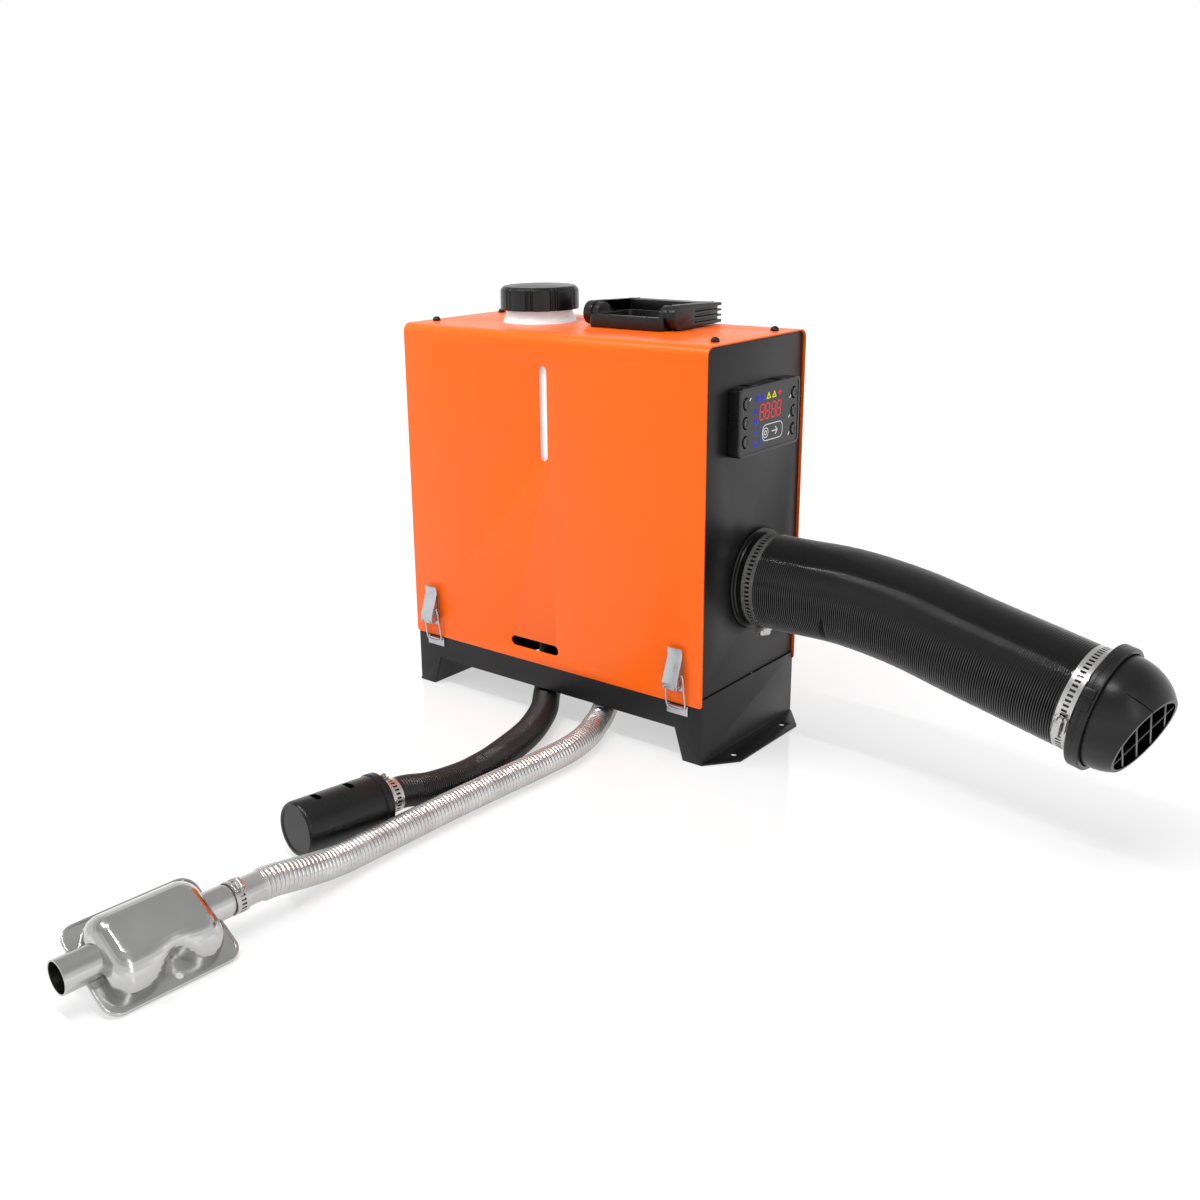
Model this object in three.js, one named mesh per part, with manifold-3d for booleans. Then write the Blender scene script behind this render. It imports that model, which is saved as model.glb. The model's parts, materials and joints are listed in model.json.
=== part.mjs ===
// Diesel air heater: a self-contained unit in a sheet metal housing with its fuel tank inside,
// a hot air duct on the right, and the exhaust and combustion air hoses leaving under the front.
// Millimetres, +Z up, the front looks along -Y, the floor is z = 0 under the housing's middle.

import * as THREE from 'three';
import { mergeVertices } from 'three/addons/utils/BufferGeometryUtils.js';
import Module from 'manifold-3d';

const wasm = await Module();
wasm.setup();

// ---------- driving dimensions ----------
const BODY_WIDTH = 380;
const BODY_DEPTH = 174;
const BODY_HEIGHT = 400;
const SHEET = 1.5; // thickness of the folded sheets
const GAP = 0.3; // between pieces that touch
const LIP = 2.4; // how far the shell stands proud of the side panels
const BEND = 9; // outer bend radius of the shell
const SHELL_BOTTOM = 59;
const APRON_BOTTOM = 32.6;
const SEAM = 67; // where side panel and base meet
const SHELF_ABOVE_HEATER = 37; // room between the heater casing and the tank's shelf
const FLANGE_REACH = 24.5; // fixing flange beyond the shell
const HEATER_Y = 12.3; // axis of burner, blower and outlet
const HEATER_Z = 165;
const HEATER_HALF_HEIGHT = 60; // of the casing
const DUCT_RADIUS = 46;
const EXHAUST_RADIUS = 13;
const INTAKE_RADIUS = 14.5;
const CAP_RADIUS = 41.5;
const ROUNDNESS = 0.5; // scales the segment counts of all turned pieces

const HALF_W = BODY_WIDTH / 2;
const HALF_D = BODY_DEPTH / 2;
const PANEL_X = HALF_W - LIP; // outer face of the side panels
const INNER_X = PANEL_X - SHEET;
const INNER_Y = HALF_D - SHEET; // inner face of the shell's front and back
const INNER_Z = BODY_HEIGHT - SHEET;

// ---------- shapes ----------
const V3 = (x, y, z) => new THREE.Vector3(x, y, z);
const AXES = {
  x: [V3(0, 1, 0), V3(0, 0, 1), V3(1, 0, 0)],
  y: [V3(1, 0, 0), V3(0, 0, 1), V3(0, -1, 0)],
  z: [V3(1, 0, 0), V3(0, 1, 0), V3(0, 0, 1)],
};

function polygon(points) {
  return new THREE.Shape(points.map(([u, v]) => new THREE.Vector2(u, v)));
}

function roundedRect(u0, v0, u1, v1, radius) {
  const shape = new THREE.Shape();
  shape.moveTo(u0 + radius, v0);
  shape.absarc(u1 - radius, v0 + radius, radius, -Math.PI / 2, 0);
  shape.absarc(u1 - radius, v1 - radius, radius, 0, Math.PI / 2);
  shape.absarc(u0 + radius, v1 - radius, radius, Math.PI / 2, Math.PI);
  shape.absarc(u0 + radius, v0 + radius, radius, Math.PI, Math.PI * 1.5);
  return shape;
}

// A manifold solid from a closed three.js geometry.
function solid(geometry) {
  const bare = geometry.index ? geometry.toNonIndexed() : geometry;
  bare.deleteAttribute('normal');
  bare.deleteAttribute('uv');
  const merged = mergeVertices(bare, 1e-4);
  const mesh = new wasm.Mesh({
    numProp: 3,
    vertProperties: new Float32Array(merged.attributes.position.array),
    triVerts: new Uint32Array(merged.index.array),
  });
  return new wasm.Manifold(mesh);
}

function flatGeometry(manifold) {
  const { vertProperties, triVerts } = manifold.getMesh();
  const geometry = new THREE.BufferGeometry();
  geometry.setAttribute('position', new THREE.BufferAttribute(new Float32Array(vertProperties), 3));
  geometry.setIndex(new THREE.BufferAttribute(new Uint32Array(triVerts), 1));
  const flat = geometry.toNonIndexed();
  flat.computeVertexNormals();
  return flat;
}

// A flat outline pushed along an axis: (y, z) for x, (x, z) for y and (x, y) for z.
function prism(shape, axis, from, to, arc = 4, bevel = 0) {
  const depth = to - from - 2 * bevel;
  const geometry = new THREE.ExtrudeGeometry(shape, {
    depth,
    curveSegments: arc / 2, // three doubles this on an arc
    bevelEnabled: bevel > 0,
    bevelThickness: bevel,
    bevelSize: bevel,
    bevelOffset: -bevel,
    bevelSegments: 1,
  });
  const start = axis === 'y' ? -to + bevel : from + bevel;
  geometry.translate(0, 0, start);
  geometry.applyMatrix4(new THREE.Matrix4().makeBasis(...AXES[axis]));
  return solid(geometry);
}

function box(x0, x1, y0, y1, z0, z1) {
  const geometry = new THREE.BoxGeometry(x1 - x0, y1 - y0, z1 - z0);
  geometry.translate((x0 + x1) / 2, (y0 + y1) / 2, (z0 + z1) / 2);
  return solid(geometry);
}

// A profile of [radius, height] pairs turned round the axis from `base` along `direction`.
function turned(profile, base, direction, segments = 32) {
  const points = profile.map(([r, h]) => new THREE.Vector2(r, h));
  const count = Math.max(6, Math.round(segments * ROUNDNESS));
  const geometry = new THREE.LatheGeometry(points, count);
  const turn = new THREE.Quaternion().setFromUnitVectors(V3(0, 1, 0), direction.clone().normalize());
  geometry.applyQuaternion(turn);
  geometry.translate(base.x, base.y, base.z);
  const result = solid(geometry);
  if (result.volume() > 0) return result;
  geometry.index.array.reverse();
  return solid(geometry);
}

function rod(from, to, radius, segments = 16) {
  const length = from.distanceTo(to);
  const direction = to.clone().sub(from);
  return turned([[0, 0], [radius, 0], [radius, length], [0, length]], from, direction, segments);
}

function ring(from, to, outer, inner, segments = 32) {
  const length = from.distanceTo(to);
  const direction = to.clone().sub(from);
  const profile = [[inner, 0], [outer, 0], [outer, length], [inner, length], [inner, 0]];
  return turned(profile, from, direction, segments);
}

function wire(points, radius, sides, steps) {
  const path = new THREE.CatmullRomCurve3(points, false, 'centripetal');
  const section = new THREE.Shape();
  section.absarc(0, 0, radius, 0, Math.PI * 2);
  return new THREE.ExtrudeGeometry(section, {
    steps,
    extrudePath: path,
    curveSegments: sides / 2,
  });
}

// ---------- materials and the scene graph ----------
const ORANGE = { color: 0xff6e2e, roughness: 0.28, metalness: 0 };
const BLACK_SHEET = { color: 0x2c2c2e, roughness: 0.5, metalness: 0.1 };
const BLACK_PLASTIC = { color: 0x1b1b1c, roughness: 0.45, metalness: 0 };
const ZINC = { color: 0xc4c6c8, roughness: 0.3, metalness: 0.9 };
const STAINLESS = { color: 0xd0d0cf, roughness: 0.2, metalness: 1 };
const TANK_WHITE = { color: 0xe9e9e4, roughness: 0.45, metalness: 0 };
const ALUMINIUM = { color: 0xa9abad, roughness: 0.5, metalness: 0.9 };
const RUBBER = { color: 0x151515, roughness: 0.8, metalness: 0 };
const BOARD_GREEN = { color: 0x1f5a38, roughness: 0.6, metalness: 0 };
const FUEL_LINE = { color: 0xd9c089, roughness: 0.4, metalness: 0 };

const heater = new THREE.Group();

function add(name, shape, look, parent = heater) {
  const geometry = shape.isBufferGeometry ? shape : flatGeometry(shape);
  const mesh = new THREE.Mesh(geometry, new THREE.MeshStandardMaterial(look));
  mesh.name = name;
  parent.add(mesh);
  return mesh;
}

function subtractAll(body, tools) {
  return tools.reduce((rest, tool) => rest.subtract(tool), body);
}

function addAll(body, extras) {
  return extras.reduce((whole, extra) => whole.add(extra), body);
}

const FAR = 500; // reach of the boxes that cut a piece in two
const SIGNS = [-1, 1];
const CORNERS = [[-1, -1], [1, -1], [-1, 1], [1, 1]];

// ---------- orange shell ----------
const NECK_X = -79.5;
const NECK_Y = 5;
const NECK_RADIUS = 38.2;
const SCREW = { x: HALF_W - 15, y: HALF_D - 35, head: 4, rise: 4.4, shank: 2, hole: 2.4 };
const SHELF_TOP = HEATER_Z + HEATER_HALF_HEIGHT + SHELF_ABOVE_HEATER;
const LEVEL_SLOT = { width: 10, z0: SHELF_TOP + 13.5, z1: BODY_HEIGHT - 31 };
const LOWER_SLOT = { x0: -49, x1: 14.5, z0: 73, z1: 83.5 };

function archShape(halfDepth, bottom, top, radius) {
  const shape = new THREE.Shape();
  shape.moveTo(-halfDepth, bottom);
  shape.lineTo(halfDepth, bottom);
  shape.absarc(halfDepth - radius, top - radius, radius, 0, Math.PI / 2);
  shape.absarc(-halfDepth + radius, top - radius, radius, Math.PI / 2, Math.PI);
  return shape;
}

function screwPlaces() {
  return CORNERS.map(([sx, sy]) => V3(sx * SCREW.x, sy * SCREW.y, BODY_HEIGHT));
}

function screwHoles() {
  const depth = V3(0, 0, 30);
  return screwPlaces().map((p) => rod(p.clone().sub(depth), p.clone().add(depth), SCREW.hole, 12));
}

function makeShell() {
  const corner = 3.5;
  const outer = prism(archShape(HALF_D, 0, BODY_HEIGHT, BEND), 'x', -HALF_W, HALF_W, 6);
  const inner = archShape(INNER_Y, -1, INNER_Z, BEND - SHEET);
  const hollow = prism(inner, 'x', -HALF_W - 1, HALF_W + 1, 6);
  const outline = roundedRect(-HALF_W, SHELL_BOTTOM, HALF_W, BODY_HEIGHT + 50, corner);
  const sheet = outer.subtract(hollow).intersect(prism(outline, 'y', -HALF_D - 1, HALF_D + 1, 5));
  const slotW = LEVEL_SLOT.width / 2;
  const level = roundedRect(-slotW, LEVEL_SLOT.z0, slotW, LEVEL_SLOT.z1, slotW * 0.98);
  const lowR = (LOWER_SLOT.z1 - LOWER_SLOT.z0) * 0.49;
  const low = roundedRect(LOWER_SLOT.x0, LOWER_SLOT.z0, LOWER_SLOT.x1, LOWER_SLOT.z1, lowR);
  const neck = V3(NECK_X, NECK_Y, 0);
  const cuts = [
    prism(level, 'y', -HALF_D - 1, -INNER_Y + 1, 6),
    prism(low, 'y', -HALF_D - 1, -INNER_Y + 1, 6),
    rod(neck.clone().setZ(INNER_Z - 5), neck.clone().setZ(BODY_HEIGHT + 5), NECK_RADIUS + 0.8, 32),
    ...screwHoles(),
  ];
  add('shell', subtractAll(sheet, cuts), ORANGE);
}

function makeTopScrews() {
  const { head, rise, shank } = SCREW;
  const tail = 9;
  const top = tail + GAP + rise;
  const seat = tail + GAP;
  const profile = [
    [0, 0], [shank, 0], [shank, seat], [head, seat], [head, seat + rise * 0.35],
    [head * 0.75, seat + rise * 0.8], [head * 0.4, top], [0, top],
  ];
  screwPlaces().forEach((place, index) => {
    const base = place.clone().setZ(BODY_HEIGHT - tail);
    add(`top_screw_${index + 1}`, turned(profile, base, V3(0, 0, 1), 14), BLACK_PLASTIC);
  });
}

// ---------- side panels ----------
const PANEL_Y = INNER_Y - GAP;
const PANEL_TOP = INNER_Z - GAP;
const PANEL_BEND = BEND - SHEET - GAP;
const RETURN_DEPTH = 22; // flange of the panel behind the shell
const OUTLET_HOLE = 43.8;
const GRILLE_RADIUS = 44;

function panelBody(side) {
  const plateFrom = side > 0 ? INNER_X : -PANEL_X;
  const bottom = SEAM + GAP;
  const outline = archShape(PANEL_Y, bottom, PANEL_TOP, PANEL_BEND);
  const plate = prism(outline, 'x', plateFrom, plateFrom + SHEET, 4);
  const flangeFrom = side > 0 ? INNER_X - RETURN_DEPTH : -INNER_X;
  const rim = prism(outline, 'x', flangeFrom, flangeFrom + RETURN_DEPTH, 4);
  const wall = 1.2;
  const inside = archShape(PANEL_Y - wall, bottom - 1, PANEL_TOP - wall, PANEL_BEND - wall);
  const cut = prism(inside, 'x', flangeFrom - 1, flangeFrom + RETURN_DEPTH + 1, 4);
  return plate.add(rim.subtract(cut.intersect(box(-FAR, FAR, -FAR, FAR, 0, FAR)))
    .subtract(box(-FAR, FAR, -PANEL_Y - 1, PANEL_Y + 1, 0, SEAM + 23)));
}

function makeSidePanels() {
  const axis = V3(0, HEATER_Y, HEATER_Z);
  const reach = V3(HALF_W + 10, 0, 0);
  const outlet = rod(axis, axis.clone().add(reach), OUTLET_HOLE, 32);
  add('right_panel', subtractAll(panelBody(1), [outlet, ...screwHoles()]), BLACK_SHEET);

  const slots = [];
  const pitch = 12;
  for (let row = -3; row <= 3; row += 1) {
    const offset = row * pitch;
    const half = Math.sqrt(GRILLE_RADIUS ** 2 - offset ** 2) - 2;
    const z = HEATER_Z + offset;
    const slot = roundedRect(HEATER_Y - half, z - 3, HEATER_Y + half, z + 3, 2.9);
    slots.push(prism(slot, 'x', -HALF_W - 10, -INNER_X + 1, 2));
  }
  add('left_panel', subtractAll(panelBody(-1), [...slots, ...screwHoles()]), BLACK_SHEET);
}

// ---------- base ----------
const BASE_X = PANEL_X + 1.3; // outer face of the base sides
const BASE_Y = INNER_Y - GAP;
const FOOT_INNER = 168; // inner edge of a foot on the floor
const FOOT_TOP = 158; // inner edge of a foot at the apron
const APRON_TOP = 71;
const FLANGE_HOLE = { x: HALF_W + 11.5, y: 46, radius: 3.25 };
const FLANGE_THICK = 1.8;

function apronOutline() {
  return polygon([
    [-BASE_X, 0], [-FOOT_INNER, 0], [-FOOT_TOP, APRON_BOTTOM], [FOOT_TOP, APRON_BOTTOM],
    [FOOT_INNER, 0], [BASE_X, 0], [BASE_X, SEAM], [INNER_X, SEAM], [INNER_X, APRON_TOP],
    [-INNER_X, APRON_TOP], [-INNER_X, SEAM], [-BASE_X, SEAM],
  ]);
}

function flangeOutline(side) {
  const reach = HALF_W + FLANGE_REACH;
  const inner = BASE_X - SHEET;
  const points = [
    [inner, -BASE_Y], [BASE_X + 1, -BASE_Y], [reach - 2.5, -57], [reach, -53.5],
    [reach, 53.5], [reach - 2.5, 57], [BASE_X + 1, BASE_Y], [inner, BASE_Y],
  ];
  return polygon(side > 0 ? points : points.map(([x, y]) => [-x, y]).reverse());
}

function makeBase() {
  const apron = apronOutline();
  const pieces = [];
  const holes = [];
  for (const side of SIGNS) {
    pieces.push(prism(apron, 'y', side > 0 ? BASE_Y - SHEET : -BASE_Y, side > 0 ? BASE_Y : -BASE_Y + SHEET));
    const x0 = side > 0 ? BASE_X - SHEET : -BASE_X;
    pieces.push(box(x0, x0 + SHEET, -BASE_Y + 0.1, BASE_Y - 0.1, 0, SEAM));
    pieces.push(prism(flangeOutline(side), 'z', 0, FLANGE_THICK));
    for (const end of SIGNS) {
      const place = V3(side * FLANGE_HOLE.x, end * FLANGE_HOLE.y, -1);
      holes.push(rod(place, place.clone().setZ(5), FLANGE_HOLE.radius, 16));
    }
  }
  add('base_frame', subtractAll(addAll(pieces[0], pieces.slice(1)), holes), BLACK_SHEET);
}

const PAN_FLOOR = APRON_BOTTOM; // top face of the pan
const EXHAUST_OPENING = { x0: 24, x1: 86, y0: -81, y1: -6 };
const INTAKE_OPENING = { x0: -92, x1: -4, y0: -78, y1: 10 };

function makePan() {
  const edge = BASE_X - SHEET - GAP;
  const drop = 1.8; // sheet thickness measured along the slanted wall
  const outline = polygon([
    [-edge, 0], [-FOOT_INNER, 0], [-FOOT_TOP, PAN_FLOOR - SHEET], [FOOT_TOP, PAN_FLOOR - SHEET],
    [FOOT_INNER, 0], [edge, 0], [edge, SHEET], [FOOT_INNER + drop, SHEET],
    [FOOT_TOP + drop, PAN_FLOOR], [-FOOT_TOP - drop, PAN_FLOOR], [-FOOT_INNER - drop, SHEET],
    [-edge, SHEET],
  ]);
  const half = BASE_Y - SHEET - GAP;
  const openings = [EXHAUST_OPENING, INTAKE_OPENING].map(({ x0, x1, y0, y1 }) => (
    prism(roundedRect(x0, y0, x1, y1, 14), 'z', PAN_FLOOR - 5, PAN_FLOOR + 5, 5)));
  add('chassis_pan', subtractAll(prism(outline, 'y', -half, half), openings), BLACK_SHEET);
}

// ---------- fuel tank, cap and gasket ----------
const TANK = {
  x0: -HALF_W + 10, x1: HALF_W - 70, y: INNER_Y - 2.5, z0: SHELF_TOP + GAP, z1: BODY_HEIGHT - 14,
  radius: 14, wall: 3,
};
const CAP_LIFT = 13; // underside of the cap above the shell
const CAP = {
  x: NECK_X, y: NECK_Y, z0: BODY_HEIGHT + CAP_LIFT, z1: BODY_HEIGHT + CAP_LIFT + 23.6, crown: 1.4, top: 3,
};
const NECK_TOP = CAP.z1 - CAP.top - 3;
const GASKET_THICK = 1.6;

function makeTank() {
  const { x0, x1, y, z0, z1, radius, wall } = TANK;
  const outer = prism(roundedRect(x0, -y, x1, y, radius), 'z', z0, z1, 4, 3);
  const room = roundedRect(x0 + wall, -y + wall, x1 - wall, y - wall, radius - wall);
  const inner = prism(room, 'z', z0 + wall, z1 - wall, 4);
  const collar = NECK_RADIUS;
  const throat = NECK_RADIUS - 5.2;
  const neckBase = V3(NECK_X, NECK_Y, 0);
  const neck = turned([
    [0, z1 - 4], [collar - 2, z1 - 4], [collar - 2, z1 + 6], [collar, BODY_HEIGHT + 0.5],
    [throat + 1, BODY_HEIGHT + 9.5], [throat, BODY_HEIGHT + 11], [throat, NECK_TOP], [0, NECK_TOP],
  ], neckBase, V3(0, 0, 1), 26);
  const bore = rod(neckBase.clone().setZ(z1 - 10), neckBase.clone().setZ(NECK_TOP + 1), throat - 3, 24);
  const outlet = V3(FUEL.tankX, FUEL.tankY, z0 + 1);
  const nipple = rod(outlet, outlet.clone().setZ(SHELF_TOP - 12), 2.4, 12);
  const body = outer.add(neck).add(nipple).subtract(inner).subtract(bore);
  const drain = rod(outlet.clone().setZ(z0 + 8), outlet.clone().setZ(SHELF_TOP - 13), 1.2, 8);
  add('fuel_tank', body.subtract(drain), TANK_WHITE);
}

// Round outline with pairs of narrow grooves between the grip lobes.
function capOutline() {
  const lobes = 10;
  const steps = [0, 0.6, 0.66, 0.76, 0.82, 0.92];
  const depth = [0, 0, 1.5, 0, 1.5, 0];
  const points = [];
  for (let lobe = 0; lobe < lobes; lobe += 1) {
    steps.forEach((part, index) => {
      const angle = ((lobe + part) / lobes) * Math.PI * 2;
      const radius = CAP_RADIUS - depth[index];
      points.push([CAP.x + radius * Math.cos(angle), CAP.y + radius * Math.sin(angle)]);
    });
  }
  return polygon(points);
}

function makeCap() {
  const { z0, z1, crown, top } = CAP;
  const base = V3(CAP.x, CAP.y, 0);
  const bound = turned([
    [0, z0], [CAP_RADIUS, z0], [CAP_RADIUS - 0.8, z1 - 3], [CAP_RADIUS - 4, z1],
    [19, z1 + crown], [18.5, z1 + crown - 0.8], [0, z1 + crown - 0.8],
  ], base, V3(0, 0, 1), 32);
  const cavity = rod(base.clone().setZ(z0 - 1), base.clone().setZ(z1 - top), NECK_RADIUS - 4.4, 32);
  const lobed = prism(capOutline(), 'z', z0 - 1, z1 + 5);
  add('filler_cap', bound.intersect(lobed).subtract(cavity), BLACK_PLASTIC);
  const under = z1 - top - GAP;
  const radius = NECK_RADIUS - 5.3; // clears the flats of the cap while it turns
  const seal = rod(base.clone().setZ(under - GASKET_THICK), base.clone().setZ(under), radius, 32);
  add('filler_gasket', seal, RUBBER);
}

// ---------- folding carry handle ----------
const HANDLE = { x0: 0.5, x1: 90, y0: -15.5, y1: 46, rise: 13.3, arm: 10, reach: 74, knuckle: 12 };
const PIVOT = { y: 2, z: BODY_HEIGHT + 12.7, pin: 4 };
const SIDE_PLAY = 0.6;

function earShape(radius) {
  const shape = new THREE.Shape();
  shape.moveTo(PIVOT.y - radius, BODY_HEIGHT + 4);
  shape.lineTo(PIVOT.y + radius, BODY_HEIGHT + 4);
  shape.absarc(PIVOT.y, PIVOT.z, radius, 0, Math.PI);
  return shape;
}

function makeHandle() {
  const { x0, x1, y0, y1, rise, arm, reach, knuckle } = HANDLE;
  const floor = BODY_HEIGHT + GAP;
  const top = BODY_HEIGHT + rise;
  const rim = 5;
  const tray = prism(roundedRect(x0, y0, x1, y1, 6), 'z', floor, top, 4, 0.8);
  const recess = roundedRect(x0 + rim + 5, y0 + rim, x1 - rim - 5, y1 - rim, 4);
  const pieces = [];
  for (const [from, to] of [[x0, x0 + 8], [x1 - 8, x1]]) {
    pieces.push(prism(earShape(knuckle - 1), 'x', from, to, 8));
  }
  const pinReach = SIDE_PLAY + arm * 0.55;
  const left = V3(x0 - pinReach, PIVOT.y, PIVOT.z);
  const right = V3(x1 + pinReach, PIVOT.y, PIVOT.z);
  pieces.push(rod(left, left.clone().setX(x0 + 2), PIVOT.pin, 16));
  pieces.push(rod(right, right.clone().setX(x1 - 2), PIVOT.pin, 16));
  const sunk = tray.subtract(prism(recess, 'z', floor + 4, top + 1, 4));
  add('handle_base', addAll(sunk, pieces), BLACK_PLASTIC);

  const rear = { z0: BODY_HEIGHT + 2.4, z1: BODY_HEIGHT + 22 };
  const side = new THREE.Shape();
  side.absarc(PIVOT.y, PIVOT.z, knuckle, Math.PI / 2, Math.PI * 1.5);
  side.lineTo(reach, rear.z0);
  side.lineTo(reach, rear.z1);
  const inL = x0 - SIDE_PLAY;
  const inR = x1 + SIDE_PLAY;
  const grip = { depth: 16, z0: BODY_HEIGHT + 4, z1: BODY_HEIGHT + 22 };
  const bar = box(inL - 1, inR + 1, reach - grip.depth, reach - 0.2, grip.z0, grip.z1);
  const arms = prism(side, 'x', inL - arm, inL, 8).add(prism(side, 'x', inR, inR + arm, 8));
  const pinGap = 0.4;
  const bore = rod(V3(left.x - 0.5, PIVOT.y, PIVOT.z), V3(right.x + 0.5, PIVOT.y, PIVOT.z),
    PIVOT.pin + pinGap, 16);
  const slots = [];
  const fin = { pitch: 5.2, open: 3, first: BODY_HEIGHT + 5.6, y: 26, depth: 4.5 };
  for (const out of SIGNS) {
    for (let row = 0; row < 3; row += 1) {
      const z = fin.first + row * fin.pitch;
      const x = out > 0 ? inR + arm - fin.depth : inL - arm - 1;
      slots.push(box(x, x + fin.depth + 1, fin.y, reach + 1, z, z + fin.open));
    }
  }
  add('carry_handle', subtractAll(arms.add(bar).subtract(bore), slots), BLACK_PLASTIC);
}

// ---------- draw latches ----------
// Local frame of a latch: x across, -y out of the panel, z as in the model, 0 on the panel's face.
const LATCH = {
  x: HALF_W - 28, width: 16.6, sheet: 1.2, pivotOut: 9, pivotZ: 80, wireOut: 7, wireZ: 91,
  pin: 1.6, wire: 0.9, barOut: 2.1, barZ: SHELL_BOTTOM - 4, tipZ: 116.5,
};

const EAR_X = 5.2; // inner face of an ear

function latchMount() {
  const { width, sheet, pivotOut, pivotZ, pin } = LATCH;
  const plate = box(-width / 2 + 1, width / 2 - 1, -GAP - sheet, -GAP, pivotZ - 7, pivotZ + 26);
  const ears = SIGNS.map((s) => {
    const x = s > 0 ? EAR_X : -EAR_X - sheet;
    return box(x, x + sheet, -pivotOut - 1.4, -GAP - 0.1, pivotZ - 2.4, pivotZ + 4);
  });
  const half = width / 2 + 0.7;
  const axle = rod(V3(-half, -pivotOut, pivotZ), V3(half, -pivotOut, pivotZ), pin, 10);
  return addAll(plate, [...ears, axle]);
}

function latchLever() {
  const { width, sheet, pivotOut, pivotZ, wireOut, wireZ, pin, wire: bail, tipZ } = LATCH;
  const face = polygon([
    [-11, 75.6], [-13.4, 78.6], [-13.6, 84], [-4.4, 109], [-5.6, tipZ],
    [-5.6 + sheet, tipZ], [-4.4 + sheet, 109], [-12.3, 84], [-12.1, 79], [-10.2, 76.4],
  ]);
  const sheetBody = prism(face, 'x', -width / 2, width / 2);
  const cheek = polygon([
    [-12.6, 77], [-13, 84], [-5.6, 104], [-4.4, 104], [-4.8, 88], [-6.2, 77],
  ]);
  const cheeks = SIGNS.map((s) => {
    const x = s > 0 ? width / 2 - sheet : -width / 2;
    return prism(cheek, 'x', x, x + sheet);
  });
  const through = V3(width, 0, 0);
  const pivot = V3(0, -pivotOut, pivotZ);
  const eye = V3(0, -wireOut, wireZ);
  const holes = [
    rod(pivot.clone().sub(through), pivot.clone().add(through), pin + 0.35, 12),
    rod(eye.clone().sub(through), eye.clone().add(through), bail + 0.9, 12),
  ];
  // The lower lip swings past the ears of the mount.
  const notches = SIGNS.map((s) => {
    const x = s > 0 ? EAR_X : -EAR_X - sheet;
    return box(x - GAP, x + sheet + GAP, -20, 0, pivotZ - 8, pivotZ - 0.4);
  });
  return subtractAll(addAll(sheetBody, cheeks), [...holes, ...notches]);
}

function latchBail() {
  const { width, wireOut, wireZ, wire: radius, barOut, barZ } = LATCH;
  const out = width / 2 + 2.1;
  const inner = width / 2 - 1.6;
  const side = (s) => [
    V3(s * inner, -wireOut, wireZ), V3(s * (out - 0.8), -wireOut, wireZ),
    V3(s * out, -wireOut + 0.1, wireZ - 1.5), V3(s * out, -barOut - 2.2, (wireZ + barZ) / 2),
    V3(s * out, -barOut - 0.1, barZ + 2.5), V3(s * (out - 1.5), -barOut, barZ),
  ];
  return wire([...side(-1), ...side(1).reverse()], radius, 4, 18);
}

function latchCatch() {
  const { barOut, barZ, wire: radius, sheet } = LATCH;
  const half = 12;
  const seat = HALF_D - BASE_Y - GAP; // the base stands back from the shell's face
  const ledge = barZ + radius + 0.4;
  const plate = box(-half, half, seat - sheet, seat, 47.5, ledge + sheet);
  const tongue = half - 3.4; // narrower than the bail that hooks under it
  return plate.add(box(-tongue, tongue, -barOut - 1.6, seat - 0.1, ledge, ledge + sheet));
}

function makeLatches() {
  CORNERS.forEach(([sx, sy], index) => {
    const place = new THREE.Group();
    place.position.set(sx * LATCH.x, sy * HALF_D, 0);
    place.rotation.z = sy > 0 ? Math.PI : 0;
    heater.add(place);
    const tag = index + 1;
    add(`latch_mount_${tag}`, latchMount(), ZINC, place);
    add(`latch_lever_${tag}`, latchLever(), ZINC, place);
    add(`latch_bail_${tag}`, latchBail(), ZINC, place);
    add(`latch_catch_${tag}`, latchCatch(), ZINC, place);
  });
}

// ---------- controller ----------
const CONTROL = { y: 5, z: BODY_HEIGHT - 73.4, width: 108, height: 64, depth: 13, radius: 5 };
const KEY = { spread: 43, pitch: 17.5, width: 9, height: 11, proud: 1.2, play: 0.4, pocket: 4 };

function keyPlaces() {
  const places = [];
  for (const side of SIGNS) {
    for (let row = 1; row >= -1; row -= 1) {
      places.push([CONTROL.y + side * KEY.spread, CONTROL.z + row * KEY.pitch]);
    }
  }
  return places;
}

function keyShape(y, z, grow) {
  const w = KEY.width / 2 + grow;
  const h = KEY.height / 2 + grow;
  return roundedRect(y - w, z - h, y + w, z + h, 3.2 + grow);
}

function makeController() {
  const { y, z, width, height, depth, radius } = CONTROL;
  const back = PANEL_X + GAP;
  const face = back + depth;
  const outline = roundedRect(y - width / 2, z - height / 2, y + width / 2, z + height / 2, radius);
  const pockets = keyPlaces().map(([ky, kz]) => (
    prism(keyShape(ky, kz, KEY.play), 'x', face - KEY.pocket, face + 1, 2)));
  const tabs = SIGNS.map((s) => {
    const edge = z + s * height / 2;
    return box(back, back + 3, y - 12, y + 12, edge - 1.5, edge + 1.5);
  });
  const body = addAll(prism(outline, 'x', back, face, 4, 1.5), tabs);
  add('controller_case', subtractAll(body, pockets), BLACK_PLASTIC);
  keyPlaces().forEach(([ky, kz], index) => {
    const key = prism(keyShape(ky, kz, 0), 'x', face - KEY.pocket + 1.3, face + KEY.proud, 2);
    add(`controller_key_${index + 1}`, key, RUBBER);
  });
}

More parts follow.
